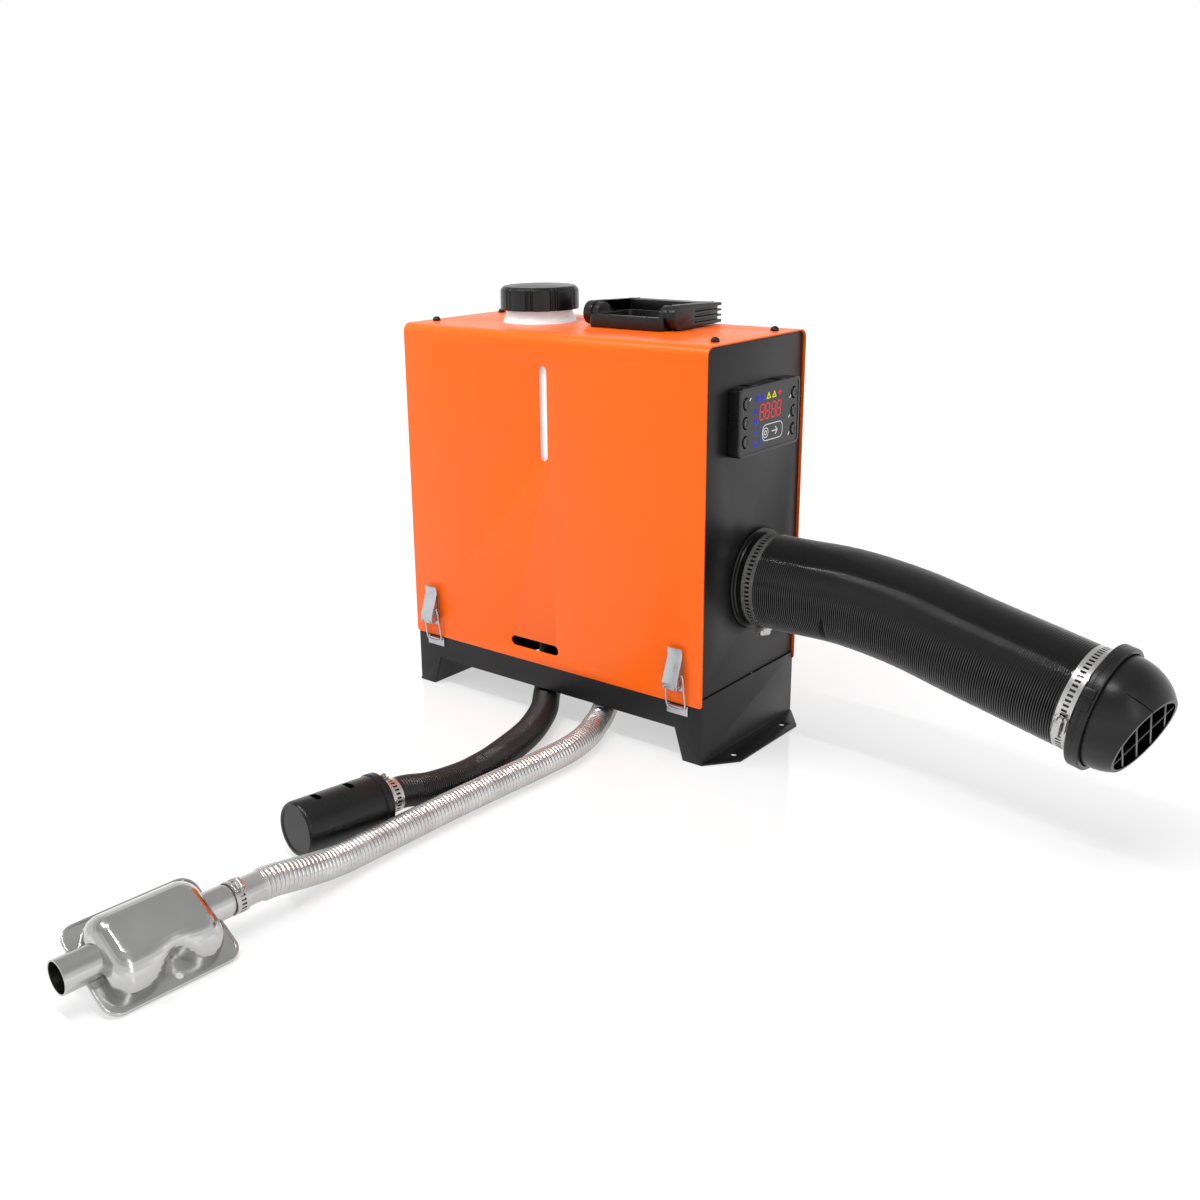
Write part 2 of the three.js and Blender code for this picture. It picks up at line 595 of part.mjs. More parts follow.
// ---------- ribbed hoses ----------
// One closed tube with its bore. Ribs run between two plain ends, and rings follow the route's
// direction without twisting.
function ribbedHose({ route, crest, valley, bore, ribs, plainStart, plainEnd, sides = 8 }) {
  const curve = new THREE.CatmullRomCurve3(route, false, 'centripetal');
  curve.arcLengthDivisions = 800;
  const length = curve.getLength();
  const pitch = (length - plainStart - plainEnd) / ribs;
  const stations = [[0, valley], [plainStart, valley]];
  for (let rib = 0; rib < ribs; rib += 1) {
    const start = plainStart + rib * pitch;
    stations.push([start + pitch * 0.3, crest], [start + pitch, valley]);
  }
  stations.push([length, valley]);
  const inner = [[length, bore], [length - plainEnd, bore]];
  for (let rib = ribs - 5; rib > 0; rib -= 5) inner.push([plainStart + rib * pitch, bore]);
  inner.push([plainStart, bore], [0, bore]);

  const frames = transportFrames(curve, length, 240);
  const positions = [];
  for (const [s, radius] of [...stations, ...inner]) {
    const point = curve.getPointAt(Math.min(s / length, 1));
    const { side, up } = frames(s);
    for (let k = 0; k < sides; k += 1) {
      const angle = (k / sides) * Math.PI * 2;
      const spoke = side.clone().multiplyScalar(Math.cos(angle) * radius)
        .addScaledVector(up, Math.sin(angle) * radius).add(point);
      positions.push(spoke.x, spoke.y, spoke.z);
    }
  }
  const count = stations.length + inner.length;
  const index = [];
  for (let ringNo = 0; ringNo < count; ringNo += 1) {
    const next = (ringNo + 1) % count;
    for (let k = 0; k < sides; k += 1) {
      const a = ringNo * sides + k;
      const b = ringNo * sides + ((k + 1) % sides);
      const c = next * sides + k;
      const d = next * sides + ((k + 1) % sides);
      index.push(a, b, d, a, d, c);
    }
  }
  const geometry = new THREE.BufferGeometry();
  geometry.setAttribute('position', new THREE.Float32BufferAttribute(positions, 3));
  geometry.setIndex(index);
  const flat = geometry.toNonIndexed();
  flat.computeVertexNormals();
  return flat;
}

function transportFrames(curve, length, samples) {
  const list = [];
  let tangent = curve.getTangentAt(0);
  const seed = Math.abs(tangent.x) < 0.9 ? V3(1, 0, 0) : V3(0, 0, 1);
  let side = seed.clone().cross(tangent).normalize();
  for (let k = 0; k <= samples; k += 1) {
    const next = curve.getTangentAt(k / samples);
    const turn = new THREE.Quaternion().setFromUnitVectors(tangent, next);
    side = side.clone().applyQuaternion(turn).normalize();
    list.push({ side, up: next.clone().cross(side).normalize() });
    tangent = next;
  }
  return (s) => list[Math.min(samples, Math.round((s / length) * samples))];
}

// Perforated worm-drive band round a hose, with its screw housing on one side.
function hoseClamp(from, to, inner, housing, seat) {
  const axis = to.clone().sub(from);
  const width = axis.length();
  axis.normalize();
  const open = inner * 1.015; // room for the band's flat facets
  const band = ring(from, to, open + 1, open, 32);
  const outward = housing.clone().addScaledVector(axis, -housing.dot(axis)).normalize();
  const across = axis.clone().cross(outward);
  const geometry = new THREE.BoxGeometry(seat, width * 0.96, seat * 0.55);
  geometry.applyMatrix4(new THREE.Matrix4().makeBasis(across, axis, outward));
  const middle = from.clone().add(to).multiplyScalar(0.5);
  middle.addScaledVector(outward, open + seat * 0.275 + 0.4);
  geometry.translate(middle.x, middle.y, middle.z);
  const wormBase = middle.clone().addScaledVector(across, -seat * 0.8);
  const worm = rod(wormBase, middle.clone().addScaledVector(across, seat * 0.4), seat * 0.24, 10);
  const room = rod(from.clone().addScaledVector(axis, -5), to.clone().addScaledVector(axis, 5),
    open + 0.3, 32);
  return band.add(solid(geometry).add(worm).subtract(room));
}

// ---------- hot air outlet, duct and vent ----------
const OUTLET = { x: PANEL_X + GAP, plate: 2.6, flange: 50.5, spigot: 38.2, wall: 2.2, length: 25 };
const DUCT_START = V3(PANEL_X + 5, HEATER_Y, HEATER_Z);
const DUCT_ROUTE = [
  DUCT_START, V3(240, 12.3, 165), V3(286, 12.2, 164.8), V3(350, 7, 158.5),
  V3(412, 0, 146.5), V3(457, -4.2, 137.6), V3(502, -8.4, 128.7), V3(524, -10.4, 124.4),
];
const DUCT_END = DUCT_ROUTE[DUCT_ROUTE.length - 1];
const DUCT_AXIS = DUCT_END.clone().sub(DUCT_ROUTE[DUCT_ROUTE.length - 2]).normalize();
const VENT = {
  ringRadius: 54.5, ringWidth: 12, hood: 49.5, play: 1, wall: 2.5, length: 47, bar: 2.2, bars: 4,
  barStep: 16, barTurn: 47.3, mouth: 40.3, slant: 14.2, twist: 0.5,
};

function alongDuct(s) {
  return DUCT_END.clone().addScaledVector(DUCT_AXIS, s);
}

function makeOutlet() {
  const { x, plate, flange, spigot, wall, length } = OUTLET;
  const base = V3(x, HEATER_Y, HEATER_Z);
  const profile = [
    [spigot - wall, 0], [flange, 0], [flange, plate * 0.6], [flange - 2, plate], [spigot, plate],
    [spigot, length], [spigot - wall, length], [spigot - wall, 0],
  ];
  add('outlet_collar', turned(profile, base, V3(1, 0, 0), 24), BLACK_PLASTIC);
}

function makeDuct() {
  const hose = ribbedHose({
    route: DUCT_ROUTE, crest: DUCT_RADIUS, valley: DUCT_RADIUS - 1.6, bore: DUCT_RADIUS - 4.2,
    ribs: 64, plainStart: 18, plainEnd: 18,
  });
  add('hot_air_duct', hose, RUBBER);
  const grip = DUCT_RADIUS - 1.6 + GAP;
  const innerFrom = V3(PANEL_X + 9.4, HEATER_Y, HEATER_Z);
  const clampWidth = 12.5;
  const innerTo = innerFrom.clone().setX(innerFrom.x + clampWidth);
  add('duct_clamp_inner', hoseClamp(innerFrom, innerTo, grip, V3(0, -0.25, -1), 13), STAINLESS);
  const outerClamp = hoseClamp(alongDuct(-15), alongDuct(-15 + clampWidth), grip, V3(0, -1, -0.2), 13);
  add('duct_clamp_outer', outerClamp, STAINLESS);
}

function makeVent() {
  const { ringRadius, ringWidth, hood, play, wall, length, bar, barStep } = VENT;
  const spigot = OUTLET.spigot;
  const depth = 20; // spigot inside the duct
  const shelf = 4; // ring plate behind the hood
  const profile = [
    [spigot - wall, -depth], [spigot, -depth], [spigot, GAP], [ringRadius, GAP],
    [ringRadius, GAP + ringWidth], [hood + play, GAP + ringWidth], [hood + play, GAP + shelf],
    [spigot - wall, GAP + shelf], [spigot - wall, -depth],
  ];
  add('vent_ring', turned(profile, DUCT_END, DUCT_AXIS, 32), BLACK_PLASTIC);

  const base = GAP + shelf + play;
  const dome = (radius, reach, from) => {
    const points = [[0, from], [radius, from], [radius, base + 9]];
    const steps = 4;
    for (let k = 1; k < steps; k += 1) {
      const angle = (k / steps) * Math.PI / 2;
      points.push([radius * Math.cos(angle), base + 9 + reach * Math.sin(angle)]);
    }
    points.push([0, base + 9 + reach]);
    return turned(points, DUCT_END, DUCT_AXIS, 24);
  };
  const outer = dome(hood, length, base);
  const inner = dome(hood - wall, length - wall, base - 1);
  const cut = ventCutFrame(base);
  const slab = (depthFrom, depthTo, half) => {
    const geometry = new THREE.BoxGeometry(half * 2, half * 2, depthTo - depthFrom);
    geometry.translate(0, 0, (depthFrom + depthTo) / 2);
    geometry.applyMatrix4(cut);
    return solid(geometry);
  };
  const shellPart = outer.subtract(inner).subtract(slab(0, 200, 150));
  const bars = [];
  for (let k = 0; k < VENT.bars; k += 1) {
    const geometry = new THREE.BoxGeometry(160, bar, 3);
    geometry.translate(0, (k - (VENT.bars - 1) / 2) * barStep, -1.8);
    geometry.applyMatrix4(cut);
    bars.push(solid(geometry));
  }
  const keel = new THREE.BoxGeometry(bar, 160, 3);
  keel.translate(0, 0, -1.8);
  keel.applyMatrix4(cut);
  bars.push(solid(keel));
  const grille = addAll(bars[0], bars.slice(1)).intersect(outer.subtract(slab(0, 200, 150)));
  add('vent_hood', shellPart.add(grille), BLACK_PLASTIC);
}

// Frame of the hood's slanted mouth: z points out of it, forward and down, and x follows the bars.
function ventCutFrame(base) {
  const down = V3(0, 0, -1).addScaledVector(DUCT_AXIS, DUCT_AXIS.z).normalize();
  const toViewer = V3(0, -1, 0).addScaledVector(DUCT_AXIS, DUCT_AXIS.y);
  toViewer.addScaledVector(down, -toViewer.dot(down)).normalize();
  const lean = down.addScaledVector(toViewer, VENT.twist).normalize();
  const slant = THREE.MathUtils.degToRad(VENT.slant);
  const out = DUCT_AXIS.clone().multiplyScalar(Math.cos(slant)).addScaledVector(lean, Math.sin(slant));
  const climb = V3(0, 0, 1).addScaledVector(out, -out.z).normalize();
  const aside = climb.clone().cross(out);
  const middle = alongDuct(base + VENT.mouth).addScaledVector(climb, -7.5).addScaledVector(aside, -4);
  const turn = THREE.MathUtils.degToRad(VENT.barTurn);
  const ladder = climb.multiplyScalar(Math.cos(turn)).addScaledVector(aside, Math.sin(turn));
  return new THREE.Matrix4().makeBasis(ladder.clone().cross(out), ladder, out).setPosition(middle);
}

// ---------- exhaust ----------
const EXHAUST_ROUTE = [
  V3(30, 6.5, 90.8), V3(34.6, -5.7, 68.3), V3(50, -46, 28), V3(60, -73, 15.7), V3(68, -95, 13.6),
  V3(76, -115, 13.6), V3(83, -150, 13.6), V3(83, -190, 13.6), V3(79, -250, 13.6),
  V3(75, -315, 13.6), V3(72, -400, 13.6), V3(72.5, -440, 15.5), V3(74.2, -478, 22.4),
  V3(74.1, -503, 27.6), V3(72.9, -521, 28.9), V3(72, -534.5, 28.9), V3(71.1, -548, 28.9),
];
const EXHAUST_STUB = 10.2;
const MUFFLER = {
  x: 66.4, y: -609, z: 21.3, halfWidth: 40, halfLength: 54, plate: 2, domeHalf: 33, domeLength: 45,
  up: 30, down: 10.5, wall: 1.2, roll: 30, yaw: -3.8, pipeSide: -3.2, pipeUp: 6.9,
  outlet: 13, outletReach: 71, inletReach: 60.6,
};

function makeExhaust() {
  const hose = ribbedHose({
    route: EXHAUST_ROUTE, crest: EXHAUST_RADIUS, valley: EXHAUST_RADIUS - 0.9,
    bore: EXHAUST_STUB + 1.2, ribs: 64, plainStart: 24, plainEnd: 44,
  });
  add('exhaust_pipe', hose, STAINLESS);
  const end = EXHAUST_ROUTE[EXHAUST_ROUTE.length - 1];
  const back = EXHAUST_ROUTE[EXHAUST_ROUTE.length - 2].clone().sub(end).normalize();
  const from = end.clone().addScaledVector(back, 14);
  const to = end.clone().addScaledVector(back, 3);
  const grip = EXHAUST_RADIUS - 0.9 + GAP;
  add('exhaust_clamp', hoseClamp(from, to, grip, V3(0.6, 0, 1), 8), STAINLESS);
}

function halfPillow(halfWidth, halfLength, height, bevel) {
  const outline = roundedRect(-halfWidth + bevel, -halfLength + bevel, halfWidth - bevel,
    halfLength - bevel, 10);
  const geometry = new THREE.ExtrudeGeometry(outline, {
    depth: height - bevel, curveSegments: 1.5, bevelEnabled: true, bevelThickness: bevel,
    bevelSize: bevel, bevelSegments: 1,
  });
  return solid(geometry).intersect(box(-90, 90, -90, 90, 0, 90));
}

function makeMuffler() {
  const m = MUFFLER;
  const place = new THREE.Group();
  place.position.set(m.x, m.y, m.z);
  place.rotation.set(0, THREE.MathUtils.degToRad(m.roll), THREE.MathUtils.degToRad(m.yaw), 'ZYX');
  heater.add(place);

  const flange = prism(roundedRect(-m.halfWidth, -m.halfLength, m.halfWidth, m.halfLength, 13),
    'z', -m.plate / 2, m.plate / 2, 5);
  const dent = (radius) => rod(V3(m.domeHalf + 5, 4, -20), V3(m.domeHalf + 5, 4, 60), radius, 20);
  const upper = (t) => halfPillow(m.domeHalf - t, m.domeLength - t, m.up - t, 12).subtract(dent(15 + t));
  const lower = (t) => halfPillow(m.domeHalf - 3 - t, m.domeLength - t, m.down - t, 8)
    .scale([1, 1, -1]);
  const pipeAt = (y) => V3(m.pipeSide, y, m.pipeUp);
  const outletPipe = rod(pipeAt(-m.outletReach), pipeAt(-20), m.outlet, 24);
  const inletPipe = rod(pipeAt(20), pipeAt(m.inletReach + 12), EXHAUST_STUB, 24);
  const neck = rod(pipeAt(20), pipeAt(m.inletReach), m.outlet, 24);
  const inside = upper(m.wall).add(lower(m.wall));
  const outside = addAll(flange, [upper(0), lower(0), outletPipe, inletPipe, neck]);
  const bores = [
    rod(pipeAt(-m.outletReach - 1), pipeAt(-20), m.outlet - 1.2, 24),
    rod(pipeAt(20), pipeAt(m.inletReach + 17), EXHAUST_STUB - 1.2, 24),
  ];
  const hole = (x, y) => rod(V3(x, y, -5), V3(x, y, 5), 3, 12);
  const slot = (y) => prism(roundedRect(-m.halfWidth + 2.2, y - 6, -m.halfWidth + 5, y + 6, 1.3),
    'z', -5, 5, 3);
  const cuts = [inside, ...bores, hole(m.halfWidth - 8, 4), slot(-20), slot(22)];
  add('muffler', subtractAll(outside, cuts), STAINLESS, place);
}

// ---------- combustion air ----------
const INTAKE_ROUTE = [
  V3(-80, 22, 91), V3(-73.4, 12, 70.4), V3(-59.6, -8.3, 41.1), V3(-41, -36, 22.2),
  V3(-20, -66, 15.2), V3(3, -98, 15), V3(25, -143, 15), V3(32.4, -166, 15), V3(38, -190, 15),
  V3(44.5, -225, 15), V3(45.9, -243, 15), V3(46, -262, 15), V3(42.5, -305, 18.6),
  V3(38.6, -334, 25), V3(35.6, -358, 25.8),
];
const INTAKE_STUB = 11.4;
const FILTER = { radius: 24, ring: 25, length: 78, ringLength: 7, neck: 12, wall: 1.8, gapToHose: 1 };

function makeIntake() {
  const hose = ribbedHose({
    route: INTAKE_ROUTE, crest: INTAKE_RADIUS, valley: INTAKE_RADIUS - 0.8,
    bore: INTAKE_STUB + 1.3, ribs: 54, plainStart: 22, plainEnd: 25,
  });
  add('intake_hose', hose, RUBBER);
  const end = INTAKE_ROUTE[INTAKE_ROUTE.length - 1];
  const axis = end.clone().sub(INTAKE_ROUTE[INTAKE_ROUTE.length - 2]);
  axis.normalize();
  const at = (s) => end.clone().addScaledVector(axis, s);
  const grip = INTAKE_RADIUS - 0.8 + GAP;
  add('intake_clamp', hoseClamp(at(-16), at(-5), grip, V3(-0.7, 0, 0.8), 8), STAINLESS);

  const f = FILTER;
  const start = f.gapToHose;
  const body = start + f.ringLength;
  const end2 = body + f.length;
  const outerProfile = [
    [0, -14], [INTAKE_STUB, -14], [INTAKE_STUB, start], [f.ring, start], [f.ring, body],
    [f.radius, body], [f.radius, end2 - 1.5], [f.radius - 1.5, end2], [0, end2],
  ];
  const innerProfile = [
    [0, -15], [INTAKE_STUB - 1.6, -15], [INTAKE_STUB - 1.6, start + f.wall],
    [f.radius - f.wall, start + f.wall], [f.radius - f.wall, end2 - f.wall], [0, end2 - f.wall],
  ];
  const shellPart = turned(outerProfile, end, axis, 32).subtract(turned(innerProfile, end, axis, 32));
  const slots = [0.3, 0.72].map((part) => {
    const centre = at(body + f.length * part);
    return box(centre.x - 6, centre.x + 6, centre.y - 3, centre.y + 3, centre.z + 8, centre.z + 40);
  });
  add('intake_filter', subtractAll(shellPart, slots), BLACK_PLASTIC);
}

// ---------- heater unit ----------
const CASING = {
  x0: -150, x1: 150, halfWidth: 58, halfHeight: HEATER_HALF_HEIGHT, wall: 2.5, nozzle: 42.8,
};
const BRACKET = { x0: -118, x1: 118, y0: -40, y1: 44, thick: 2, foot: 14 };
const CASING_FLOOR = HEATER_Z - CASING.halfHeight;
const FUEL = {
  tankX: -167, tankY: -50, line: 2.3, pumpX: -149, pumpZ: 51, burnerX: -22, burnerY: HEATER_Y,
  stubZ: CASING_FLOOR - 9,
};
const EXHAUST_DIR = EXHAUST_ROUTE[1].clone().sub(EXHAUST_ROUTE[0]).normalize();
const INTAKE_DIR = INTAKE_ROUTE[1].clone().sub(INTAKE_ROUTE[0]).normalize();

// Outlet pipe of the burner or blower that reaches down into the start of its hose.
function stub(start, direction, radius, inside, segments = 20) {
  const top = start.clone().addScaledVector(direction, -inside);
  return rod(top, start.clone().addScaledVector(direction, 16), radius, segments);
}

function stubHoles(extra) {
  const fuel = V3(FUEL.burnerX, FUEL.burnerY, 0);
  return [
    stub(EXHAUST_ROUTE[0], EXHAUST_DIR, EXHAUST_STUB + extra, 60),
    stub(INTAKE_ROUTE[0], INTAKE_DIR, INTAKE_STUB + extra, 60),
    rod(fuel.clone().setZ(60), fuel.clone().setZ(130), 2.4 + extra, 12),
  ];
}

function makeCasing() {
  const { x0, x1, halfWidth, halfHeight, wall, nozzle } = CASING;
  const section = (inset) => {
    const y0 = HEATER_Y - halfWidth + inset;
    const y1 = HEATER_Y + halfWidth - inset;
    return roundedRect(y0, CASING_FLOOR + inset, y1, HEATER_Z + halfHeight - inset, 26 - inset);
  };
  const axis = (x) => V3(x, HEATER_Y, HEATER_Z);
  const outer = prism(section(0), 'x', x0, x1, 5).add(rod(axis(x1 - 5), axis(INNER_X + 0.6), nozzle, 28));
  const inner = prism(section(wall), 'x', x0 + wall, x1 - wall, 5)
    .add(rod(axis(x1 - 10), axis(PANEL_X + 5), nozzle - wall, 28))
    .add(rod(axis(x0 - 5), axis(x0 + 10), GRILLE_RADIUS + 4, 28));
  add('heater_casing', subtractAll(outer.subtract(inner), stubHoles(1)), BLACK_PLASTIC);
}

function makeBracket() {
  const { x0, x1, y0, y1, thick, foot } = BRACKET;
  const top = CASING_FLOOR - GAP;
  const bottom = PAN_FLOOR + GAP;
  const outline = polygon([
    [x0 - foot, bottom], [x0 + thick, bottom], [x0 + thick, top - thick], [x1 - thick, top - thick],
    [x1 - thick, bottom], [x1 + foot, bottom], [x1 + foot, bottom + thick], [x1, bottom + thick],
    [x1, top], [x0, top], [x0, bottom + thick], [x0 - foot, bottom + thick],
  ]);
  add('heater_bracket', subtractAll(prism(outline, 'y', y0, y1), stubHoles(1.4)), BLACK_SHEET);
}

const BURNER = {
  x0: -38, x1: 125, core: 34, fins: 46, bore: 28, finStart: -4, count: 9, stubInside: 52,
};
const MOTOR = { x0: -112, x1: BURNER.x0 - GAP, radius: 40, shaft: 3 };

function finOutline() {
  const { core, fins, count } = BURNER;
  const points = [];
  for (let k = 0; k < count; k += 1) {
    for (const [part, radius] of [[0, fins], [0.22, fins], [0.3, core]]) {
      const angle = ((k + part) / count) * Math.PI * 2;
      points.push([HEATER_Y + radius * Math.cos(angle), HEATER_Z + radius * Math.sin(angle)]);
    }
  }
  return polygon(points);
}

function makeBurner() {
  const { x0, x1, core, bore, finStart } = BURNER;
  const axis = (x) => V3(x, HEATER_Y, HEATER_Z);
  const seat = CASING_FLOOR + CASING.wall + GAP;
  const body = addAll(rod(axis(x0), axis(x1), core, 28), [
    prism(finOutline(), 'x', finStart, x1 - 6),
    stub(EXHAUST_ROUTE[0], EXHAUST_DIR, EXHAUST_STUB, BURNER.stubInside),
    box(60, 100, HEATER_Y - 14, HEATER_Y + 14, seat, HEATER_Z - core + 4),
    rod(V3(FUEL.burnerX, FUEL.burnerY, FUEL.stubZ), V3(FUEL.burnerX, FUEL.burnerY, FUEL.stubZ + 39), 2.4, 12),
  ]);
  const plug = V3(GLOW.x, HEATER_Y, HEATER_Z);
  const cuts = [
    rod(axis(x0 - 1), axis(x1 - 12), bore, 24),
    stub(EXHAUST_ROUTE[0], EXHAUST_DIR, EXHAUST_STUB - 1.6, BURNER.stubInside + 6)
      .subtract(box(-FAR, FAR, -FAR, FAR, HEATER_Z, FAR)),
    rod(plug, plug.clone().setZ(HEATER_Z + core + 5), GLOW.radius + 0.3, 12),
  ];
  add('heat_exchanger', subtractAll(body, cuts), ALUMINIUM);
}

const GLOW = { x: -18, radius: 4 };

function makeBlower() {
  const { x0, x1, radius, shaft } = MOTOR;
  const axis = (x) => V3(x, HEATER_Y, HEATER_Z);
  const seat = CASING_FLOOR + CASING.wall + GAP;
  const rotorFrom = x0 - 26;
  const body = addAll(rod(axis(x0), axis(x1), radius, 28), [
    rod(axis(x0), axis(rotorFrom - 1), shaft, 12),
    stub(INTAKE_ROUTE[0], INTAKE_DIR, INTAKE_STUB, 72),
    box(x0 + 18, x1 - 30, HEATER_Y - 16, HEATER_Y + 10, seat, HEATER_Z - radius + 6),
  ]);
  const bore = stub(INTAKE_ROUTE[0], INTAKE_DIR, INTAKE_STUB - 1.8, 66);
  add('blower_motor', body.subtract(bore), ALUMINIUM);

  const hub = ring(axis(rotorFrom), axis(x0 - 4), 14, shaft + 0.4, 20);
  const blades = [];
  const count = 7;
  for (let k = 0; k < count; k += 1) {
    const geometry = new THREE.BoxGeometry(16, 2, 34);
    geometry.rotateZ(THREE.MathUtils.degToRad(35));
    geometry.translate(0, 0, 28.5);
    geometry.rotateX((k / count) * Math.PI * 2);
    geometry.translate(x0 - 15, HEATER_Y, HEATER_Z);
    blades.push(solid(geometry));
  }
  add('blower_rotor', addAll(hub, blades), BLACK_PLASTIC);
}

function makeInnerParts() {
  const top = V3(GLOW.x, HEATER_Y, HEATER_Z + BURNER.core);
  const head = rod(top.clone().setZ(top.z + GAP + 0.2), top.clone().setZ(top.z + 9), 7, 6);
  const pin = rod(top.clone().setZ(top.z - 14), top.clone().setZ(top.z + 5), GLOW.radius, 12);
  add('glow_plug', head.add(pin), ALUMINIUM);
  const boardZ = HEATER_Z + MOTOR.radius + GAP;
  const y = HEATER_Y;
  const board = box(MOTOR.x0 + 6, MOTOR.x1 - 8, y - 22, y + 22, boardZ, boardZ + 1.6)
    .add(box(MOTOR.x0 + 14, MOTOR.x0 + 34, y - 14, y + 14, boardZ + 1.5, boardZ + 9))
    .add(box(MOTOR.x0 + 42, MOTOR.x0 + 58, y - 8, y + 8, boardZ + 1.5, boardZ + 5));
  add('control_board', board, BOARD_GREEN);
}

function makeFuelPump() {
  const { pumpX: x, pumpZ: z } = FUEL;
  const axis = (y) => V3(x, y, z);
  const body = addAll(rod(axis(-50), axis(10), 13, 20), [
    rod(axis(-62), axis(-45), 2.3, 10), rod(axis(5), axis(22), 2.3, 10),
    box(x - 7, x + 7, -32, -8, PAN_FLOOR + GAP, z - 8),
  ]);
  add('fuel_pump', body, ALUMINIUM);
}

function makeFuelLines() {
  const { tankX, tankY, line, pumpX, pumpZ, burnerX, burnerY, stubZ } = FUEL;
  const fromTank = [
    V3(tankX, tankY, SHELF_TOP - 12.3), V3(tankX, tankY, SHELF_TOP - 40), V3(tankX - 1, tankY - 4, 130),
    V3(tankX, tankY - 18, 80), V3(pumpX - 9, -76, 60), V3(pumpX, -72.5, pumpZ), V3(pumpX, -62.3, pumpZ),
  ];
  add('fuel_line_tank', wire(fromTank, line, 6, 14), FUEL_LINE);
  const toBurner = [
    V3(pumpX, 22.3, pumpZ), V3(pumpX, 34, pumpZ + 1), V3(pumpX + 12, 49, pumpZ + 8),
    V3(pumpX + 39, 54, pumpZ + 17), V3(burnerX - 38, burnerY + 39.7, stubZ - 24),
    V3(burnerX - 8, burnerY + 27.7, stubZ - 26), V3(burnerX, burnerY + 7.7, stubZ - 24),
    V3(burnerX, burnerY, stubZ - 12), V3(burnerX, burnerY, stubZ - GAP),
  ];
  add('fuel_line_burner', wire(toBurner, line, 6, 14), FUEL_LINE);
}

function makeShelf() {
  const edge = INNER_X - GAP;
  const drop = 16;
  const outline = polygon([
    [-edge, SHELF_TOP - drop], [-edge + SHEET, SHELF_TOP - drop], [-edge + SHEET, SHELF_TOP - SHEET],
    [edge - SHEET, SHELF_TOP - SHEET], [edge - SHEET, SHELF_TOP - drop], [edge, SHELF_TOP - drop],
    [edge, SHELF_TOP], [-edge, SHELF_TOP],
  ]);
  const outlet = V3(FUEL.tankX, FUEL.tankY, SHELF_TOP + 5);
  const hole = rod(outlet, outlet.clone().setZ(SHELF_TOP - 10), 3.4, 12);
  const half = PANEL_Y - 3;
  add('tank_shelf', prism(outline, 'y', -half, half).subtract(hole), BLACK_SHEET);
}

// ---------- assembly ----------
makeShell();
makeTopScrews();
makeSidePanels();
makeBase();
makePan();
makeTank();
makeCap();
makeHandle();
makeLatches();
makeController();
makeOutlet();
makeDuct();
makeVent();
makeExhaust();
makeMuffler();
makeIntake();
makeCasing();
makeBracket();
makeBurner();
makeBlower();
makeInnerParts();
makeFuelPump();
makeFuelLines();
makeShelf();

export default heater;
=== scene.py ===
# %% [markdown]
# # A diesel air heater
# The real heater is a box of bent, powder-coated sheet steel that holds a fuel tank and a burner.
# A hot air duct, a steel exhaust pipe with its silencer and a combustion air hose leave it.
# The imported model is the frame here: every piece made below is placed on it and rides on one of
# its bodies, so that the caps, levers and keys still move.

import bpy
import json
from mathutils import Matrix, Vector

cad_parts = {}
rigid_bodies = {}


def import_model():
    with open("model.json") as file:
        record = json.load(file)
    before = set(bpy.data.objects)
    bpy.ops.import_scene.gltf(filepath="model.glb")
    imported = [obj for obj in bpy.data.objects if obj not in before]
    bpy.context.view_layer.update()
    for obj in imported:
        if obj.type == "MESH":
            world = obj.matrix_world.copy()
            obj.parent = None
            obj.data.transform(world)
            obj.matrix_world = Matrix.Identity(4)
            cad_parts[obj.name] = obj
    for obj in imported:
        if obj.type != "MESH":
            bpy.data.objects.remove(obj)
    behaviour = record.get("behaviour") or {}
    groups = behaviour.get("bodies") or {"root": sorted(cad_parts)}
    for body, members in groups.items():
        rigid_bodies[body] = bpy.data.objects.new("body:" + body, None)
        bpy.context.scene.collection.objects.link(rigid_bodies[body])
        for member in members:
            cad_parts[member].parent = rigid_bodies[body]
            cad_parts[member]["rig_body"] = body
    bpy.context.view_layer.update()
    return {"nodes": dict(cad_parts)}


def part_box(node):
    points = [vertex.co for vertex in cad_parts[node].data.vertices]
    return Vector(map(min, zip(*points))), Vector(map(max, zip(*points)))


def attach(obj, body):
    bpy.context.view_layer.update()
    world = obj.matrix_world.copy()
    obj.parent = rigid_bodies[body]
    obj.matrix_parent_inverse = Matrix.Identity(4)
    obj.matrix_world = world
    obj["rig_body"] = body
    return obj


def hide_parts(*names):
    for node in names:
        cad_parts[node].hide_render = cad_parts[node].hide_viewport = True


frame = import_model()

# %% Words used in every cell
import bisect
import json
import math

import bmesh
import bpy
from mathutils import Matrix, Vector

scene = bpy.context.scene
MM = 0.001
X_AXIS, Z_AXIS = Vector((1, 0, 0)), Vector((0, 0, 1))


def mm(x, y, z):
    return Vector((x, y, z)) * MM


print("one millimetre is", MM)

# %% [markdown]
# ## Camera
# The heater was photographed with a normal lens from the front right, a little above it.
# The camera is built from its three axes, so that the small roll of the picture can be kept.

